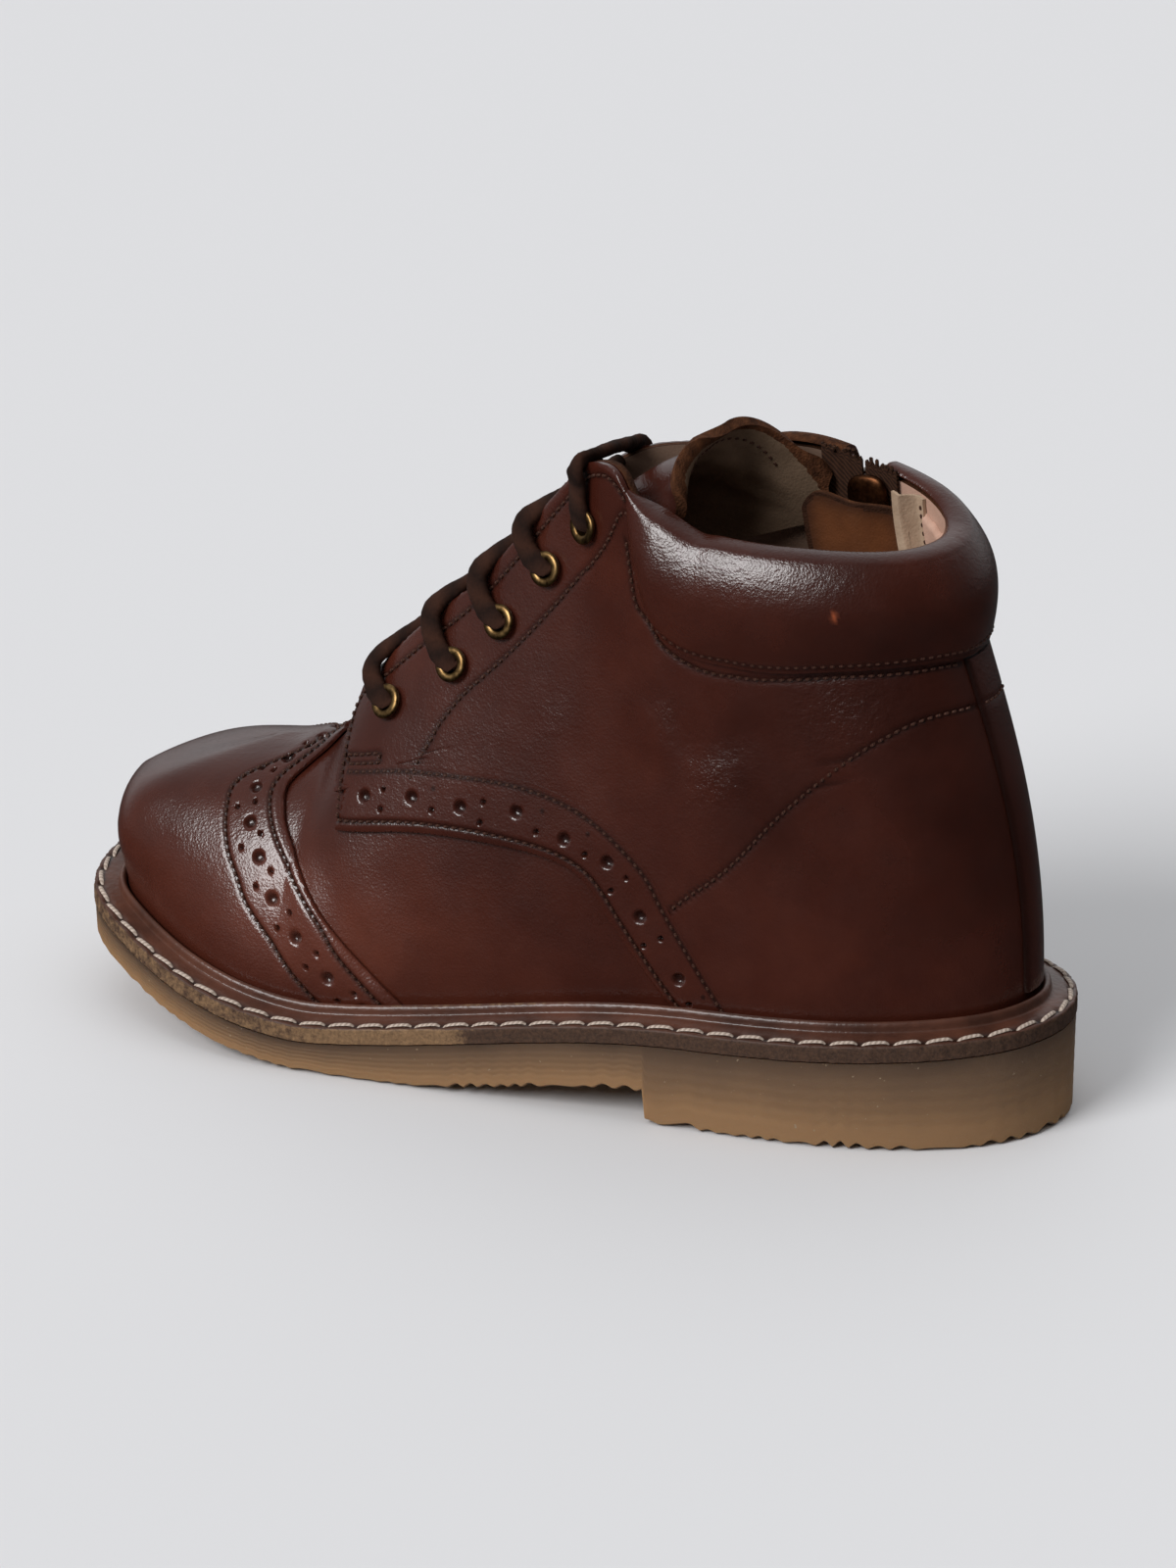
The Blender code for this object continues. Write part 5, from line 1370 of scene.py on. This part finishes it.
def makeTapes():
    heights = np.concatenate([[zipper["foot"] - 0.04], np.linspace(zipper["foot"], 1.0, 70)])
    for name, near, far in (("Front", zipper["tapeGap"], zipper["tapeHalf"]),
                            ("Rear", -zipper["tapeHalf"], -zipper["tapeGap"])):
        share = np.linspace(0, 1, 41)
        around = (2 - zipper["station"] - far + share * (far - near))[:, None]
        rib = 0.16 * np.abs(np.sin(np.pi * zipper["ribs"] * share))[:, None] + 0 * heights[None, :]
        base = upperPoint(around, heights[None, :])
        normal = upperNormal(around, heights[None, :])
        end = unit(base[:, -1] - base[:, -2])
        ragged = zipper["tapeEnd"] - 0.5 + 0.35 * np.sin(share * 41) + 0.35 * chance.random(len(share))
        tops = [(base[:, -1] + (ragged * part)[:, None] * end)[:, None] for part in (0.35, 0.7, 1.0)]
        base = np.concatenate([base] + tops, 1)
        normal = np.concatenate([normal] + [normal[:, -1:]] * 3, 1)
        rib = np.concatenate([rib] + [rib[:, -1:]] * 3, 1)
        outer = base - normal * (zipper["tapeDepth"] + 0 * rib)[..., None]
        inner = base - normal * (zipper["tapeDepth"] + zipper["tapeThick"] - 0.16 + rib)[..., None]
        leaf = closedLeaf(outer, inner, gridQuads(*base.shape[:2]))
        along = np.linspace(0, 60, base.shape[1])[None, :] + 0 * share[:, None]
        turn = 6 * share[:, None] + 0 * along
        makeLeaf("zipTape" + name, leaf, [tapeWeave], "zip_tape", ["zip_tape_" + name.lower()],
                 along=bothFaces(leaf, along), turn=bothFaces(leaf, turn))
        makeLooseEnds(name, base[:, -1] - normal[:, -1] * (zipper["tapeDepth"] + 0.35), normal[:, -1], end)


# Loose threads at a tape's cut end: thin bent tubes
def makeLooseEnds(name, spots, out, up):
    tubes = []
    look = {"wide": 0.42, "thick": 0.34, "sides": 6, "step": 0.2}
    for number in (np.linspace(5, len(spots) - 6, 5) + chance.integers(-3, 4, 5)).astype(int):
        lean = chance.normal(0, 0.9, 3)
        reach = 0.25 + 0.85 * chance.random() ** 2
        start = spots[number] - 0.8 * up[number]
        path = np.stack([start, spots[number] + 0.3 * up[number], spots[number] + reach * (up[number] + 0.5 * lean),
                         spots[number] + reach * (1.3 * up[number] + 1.1 * lean)])
        tubes.append(flatTube(path, np.repeat(out[number][None], 4, 0), look))
    points, faces, marks = joinedTubes(tubes)
    makePiece("tapeFray" + name, points, faces, [tapeWeave], marks=marks)


def makeTeeth():
    parts = []
    heights = np.linspace(zipper["foot"] + 0.018, 0.977, zipper["teeth"])
    spots, up, out, across = zipFrame(heights, zipper["chainMid"])
    rows = [(-0.7, 0.15, 0.3), (-0.6, 0.42, 0.62), (0.2, 0.5, 0.75), (1.2, 0.42, 0.8), (2.15, 0.5, 0.8),
            (2.3, 0.3, 0.6)]
    for number in range(zipper["teeth"]):
        hand = 1 if number % 2 else -1
        parts.append(roundedBlock(spots[number], (up[number], out[number], hand * across[number]), rows, 4.0, 10))
    points, faces = joined(parts)
    makePiece("zipTeeth", points, faces, [zipMetal], ["zip_chain"])


def makeSlider():
    spot, up, out, across = zipFrame(zipper["sliderHeight"], 0.0)
    wide, deep, tall = (size / 2 for size in zipper["slider"])
    s = np.linspace(-1, 1, 25)
    closeEnd = (1 - np.abs(s) ** 10) ** 0.1 * 0.85 + 0.15
    body = np.stack([tall * s, wide * closeEnd * (0.9 + 0.1 * s), deep * closeEnd], -1)
    centre = spot + zipper["sliderLift"] * out
    parts = [roundedBlock(centre, (across, out, up), body)]
    thick, length, place = zipper["ear"]
    for hand in (-1, 1):
        ear = np.stack([zipper["earFoot"] + (zipper["earTop"] - zipper["earFoot"]) * (s + 1) / 2, 0 * s + thick / 2,
                        length / 2 * np.sqrt(np.clip(1.02 - np.clip(s, 0.2, 1) ** 4, 0.02, 1))], -1)
        parts.append(roundedBlock(centre + hand * place * across, (across, up, out), ear))
        cap = [(0.0, 0.7, 0.7), (0.12, 0.68, 0.68), (0.24, 0.45, 0.45), (0.27, 0.15, 0.15)]
        head = centre + hand * (place + thick / 2 - 0.02) * across
        head = head + (zipper["pinLift"] - zipper["sliderLift"]) * out
        parts.append(roundedBlock(head, (out, up, hand * across), cap, 2.0, 16))
    neck = np.array([(-2.4, 0.9, 0.5), (-1.2, 0.8, 0.45), (0.6, 0.8, 0.45)]) * np.array([1.4, 1.0, 1.0])
    parts.append(roundedBlock(spot + 3.2 * up, (up, across, out), neck, 3.0, 16))
    count = sum(len(faces) for _, faces in parts)
    halfWide, halfDeep, halfTall = zipper["plate"]
    wide = halfWide * (1 - np.abs(s) ** 3.2) ** 0.42 + 0.05
    deep = halfDeep * (1 - s ** 4) ** 0.5 * 0.8 + 0.2
    middle = spot + zipper["plateLift"] * out + 0.4 * up + 1.2 * across
    parts.append(roundedBlock(middle, (across, out, up), np.stack([halfTall * s, wide, deep], -1), 2.6, 32))
    points, faces = joined(parts)
    kind = (np.arange(len(faces)) >= count).astype(int)
    makePiece("zipSlider", points, faces, [zipMetal, brownMetal], ["zip_slider"], kind=kind)


# Pull tab: flat bar with a barrel at the pin, a narrower neck and a round lower end
def makePull():
    spot, up, out, across = zipFrame(zipper["sliderHeight"], zipper["pinLift"])
    halfWide, halfThick = zipper["pull"]
    s = np.linspace(0, 1, 61)
    down = zipper["pullTop"] + s * (zipper["pullEnd"] - zipper["pullTop"])
    width = halfWide * (1 - 0.22 * np.exp(-((down + 3.2) / 1.9) ** 2))
    width *= np.sqrt(np.clip(1 - np.clip((-down - 12.2) / 2.3, 0, 1) ** 2, 0.01, 1))
    thick = halfThick * np.where(down > -0.9, np.sqrt(np.clip(1 - (np.clip(down, 0, 0.6) / 0.62) ** 2, 0.03, 1)),
                                 1.0)
    thick *= np.where(down < -0.9, 0.82 + 0.18 * ease((-down - 12.0) / 1.2), 1.0)
    rows = np.stack([down, width, thick], -1)
    points, faces = roundedBlock(spot, (across, out, up), rows, 5.0, 28)
    makePiece("pullTab", points.reshape(-1, 3), faces, [zipMetal], ["zip_pull"], "pull_tab")


# Guard flap between zip and foot: rear edge sewn close to the wall, the rest standing off it, top corners rounded
flap = {"stations": (-0.07, 0.055), "root": 3.1, "depth": 8.6, "sewn": 0.55, "thick": 1.3, "foot": 0.34,
        "tall": 0.61, "round": 0.05,
        "across": 71, "along": 80}


def makeFlap():
    share = np.linspace(0, 1, flap["across"])
    place = zipper["station"] + flap["stations"][0] + share * (flap["stations"][1] - flap["stations"][0])
    depth = flap["root"] + (flap["depth"] - flap["root"]) * ease(share / flap["sewn"])
    bend = np.abs(2 * share - 1) ** 6
    tall = flap["foot"] + np.linspace(0, 1, flap["along"])[None, :] * (flap["tall"] - flap["round"] * bend)[:, None]
    around = np.repeat((2 - place)[:, None], flap["along"], 1)
    outer = layerPoint(around, tall, -depth[:, None])
    inner = layerPoint(around, tall, -depth[:, None] - flap["thick"])
    border = np.concatenate([inner[0], inner[:, -1], inner[-1, ::-1]])
    rim = nearest(inner, border)
    quads = gridQuads(flap["across"], flap["along"])
    leaf = closedLeaf(outer, inner, quads)
    kind = leaf["kind"].copy()
    kind[len(quads):2 * len(quads)][rim.reshape(-1)[quads].mean(1) < 0.9] = 2
    rimDark = 0.75 * np.exp(-(rim.reshape(-1)[leaf["first"]] / 2.6) ** 2)
    dark = np.concatenate([0 * rimDark, rimDark])
    return makeLeaf("zipFlap", leaf, [flapLeather, flapLeather, rawEdge], "flap_leather", ["zip_guard_flap"], kind,
                    shade=dark)


# Soft strips over the inner wall: beige facing beside the zip, and the pink heel lining
# below the collar's turned edge
facing = {"stations": (0.150, 0.188), "low": 0.55, "high": 0.995, "root": 1.75, "rise": 3.1, "thick": 0.7}
heelLining = {"stations": (-0.13, 0.153), "low": 0.40, "high": 0.945, "depth": 1.64, "thick": 1.0}


def makeFacing():
    share = np.linspace(0, 1, 36)
    place = facing["stations"][0] + share * (facing["stations"][1] - facing["stations"][0])
    tall = np.linspace(facing["low"], facing["high"], 60)[None, :]
    depth = facing["root"] + facing["rise"] * ease((share - 0.25) / 0.5)
    depth = depth[:, None] + 0.35 * np.exp(-((share[:, None] - 0.55 - 0.5 * (tall - 0.75)) / 0.08) ** 2)
    around = np.repeat((2 - place)[:, None], 60, 1)
    outer = layerPoint(around, tall, -depth)
    inner = layerPoint(around, tall, -depth - facing["thick"])
    leaf = closedLeaf(outer, inner, gridQuads(36, 60))
    makeLeaf("zipFacing", leaf, [beigeLining], "lining")
    column = np.full(80, around[5, 0])
    high = np.linspace(facing["low"] + 0.01, 0.985, 80)
    line = layerPoint(column, high, -depth[5].mean() - facing["thick"])
    seams["medial"].append((line, -upperNormal(column, high)))


def makeHeelLining():
    place = np.linspace(*heelLining["stations"], 120)
    edge = heelLining["high"] + 0.006 * np.sin(place * 95) + 0.003 * np.sin(place * 260)
    share = np.linspace(0, 1, 60)[None, :]
    tall = heelLining["low"] + share * (edge - heelLining["low"])[:, None]
    around = np.repeat((2 - place)[:, None], 60, 1)
    soft = heelLining["thick"] * np.sqrt(np.clip(1 - ((share - 0.97) / 0.03).clip(0, 1) ** 2, 0.02, 1)) + 0 * tall
    soft = soft + 0.18 * np.sin(place * 60)[:, None] * np.sin(7 * share)
    outer = layerPoint(around, tall, -heelLining["depth"])
    inner = layerPoint(around, tall, -heelLining["depth"] - soft)
    leaf = closedLeaf(outer, inner, gridQuads(120, 60))
    makeLeaf("heelLining", leaf, [paleLining], "lining")


makeTapes()
makeTeeth()
makeSlider()
makePull()
makeFlap()
makeFacing()
makeHeelLining()
print("zip and linings ready")


# Stitch dots along the medial front lining, then every noted row as thread
liningDots = {"stations": (0.268, 0.335), "height": 0.945, "count": 60}


def makeStitches():
    dots = 2 - np.linspace(*liningDots["stations"], liningDots["count"])
    level = np.full(len(dots), liningDots["height"])
    seams["medial"].append((layerPoint(dots, level, -last["wall"]), -upperNormal(dots, level)))
    for side, rows in seams.items():
        points, faces = joined([beadsAlong(line, out) for line, out in rows])
        rings = len(points) // thread["sides"]
        turn = np.tile(np.arange(thread["sides"]) / thread["sides"], rings)
        along = np.repeat(np.linspace(0, thread["lay"], thread["rings"]), thread["sides"])
        makePiece("stitches" + side.capitalize(), points, faces, [brownThread],
                  marks={"turn": turn, "along": np.tile(along, rings // thread["rings"])})


makeStitches()
print("stitches ready")


# Floor, light and camera
def makeFloor():
    mesh = bpy.data.meshes.new("studioFloor")
    reach = 6.0
    corners = [(-reach, -reach, 0), (reach, -reach, 0), (reach, reach, 0), (-reach, reach, 0)]
    mesh.from_pydata(corners, [], [(0, 1, 2, 3)])
    finish, _, shader = newFinish("pale floor")
    shader.inputs["Base Color"].default_value = (0.72, 0.72, 0.735, 1.0)
    shader.inputs["Roughness"].default_value = 0.8
    shader.inputs["Specular IOR Level"].default_value = 0.1
    mesh.materials.append(finish)
    made = linked("studioFloor", mesh)
    made.visible_glossy = False
    return made


# Sun with a wide disc, so that it lights softly
def makeSun(name, energy, disc, place):
    lamp = bpy.data.lights.new(name, "SUN")
    lamp.energy = energy
    lamp.angle = np.radians(disc)
    made = linked(name, lamp)
    made.location = Vector(place)
    made.rotation_euler = Vector(place).to_track_quat("Z", "Y").to_euler()
    return made


# Large key from the toe side
def makeKey():
    return makeSun("softKey", view["key"], view["keyDisc"], view["keyFrom"])


# Wide light from above for the floor and the matt parts, with no reflection of its own
def makeTopLight():
    made = makeSun("softTop", view["top"], view["topDisc"], (0.0, 0.0, 1.0))
    made.visible_glossy = False
    return made


view = {"turn": np.radians(24.0), "rise": np.radians(21.5), "away": 1.176, "target": (-0.001, -0.00171, 0.050),
        "lens": 146.25, "sensor": 36.0, "key": 2.3, "keyDisc": 30.0, "keyFrom": (0.32, 0.74, 0.59), "top": 1.15,
        "topDisc": 90.0}


def makeCamera():
    eye = bpy.data.cameras.new("photoView")
    eye.lens = view["lens"]
    eye.sensor_width = view["sensor"]
    eye.clip_end = 50.0
    back = Vector((-np.sin(view["turn"]) * np.cos(view["rise"]), np.cos(view["turn"]) * np.cos(view["rise"]),
                   np.sin(view["rise"])))
    made = linked("photoView", eye)
    made.location = Vector(view["target"]) + view["away"] * back
    made.rotation_euler = (-back).to_track_quat("-Z", "Y").to_euler()
    bpy.context.scene.camera = made
    return made


# Studio fill: bright behind the boot on the toe side, dim in front of it, beside the heel and below the floor
def makeFill():
    world = bpy.data.worlds.new("studio")
    world.use_nodes = True
    tree = world.node_tree
    way = tree.nodes.new("ShaderNodeTexCoord").outputs["Generated"]
    split = tree.nodes.new("ShaderNodeSeparateXYZ")
    tree.links.new(way, split.inputs["Vector"])
    behind = mathOf(tree, "MULTIPLY_ADD", split.outputs["Y"], -0.5, 0.5)
    level = rampOf(tree, behind, [(0.0, 0.12), (0.40, 0.20), (1.0, 0.72)])
    above = rampOf(tree, mathOf(tree, "MULTIPLY_ADD", split.outputs["Z"], 0.5, 0.5), [(0.44, 0.10), (0.54, 1.0)])
    toeward = rampOf(tree, mathOf(tree, "MULTIPLY_ADD", split.outputs["X"], 0.5, 0.5), [(0.12, 0.12), (0.62, 1.0)])
    tone = mathOf(tree, "MULTIPLY", mathOf(tree, "MULTIPLY", level, above), toeward)
    tree.links.new(tone, tree.nodes["Background"].inputs["Strength"])
    tree.nodes["Background"].inputs["Color"].default_value = (0.96, 0.98, 1.0, 1.0)
    bpy.context.scene.world = world


makeFill()
bpy.context.scene.view_settings.view_transform = "Standard"
makeFloor()
makeKey()
makeTopLight()
makeCamera()
print("stage ready")
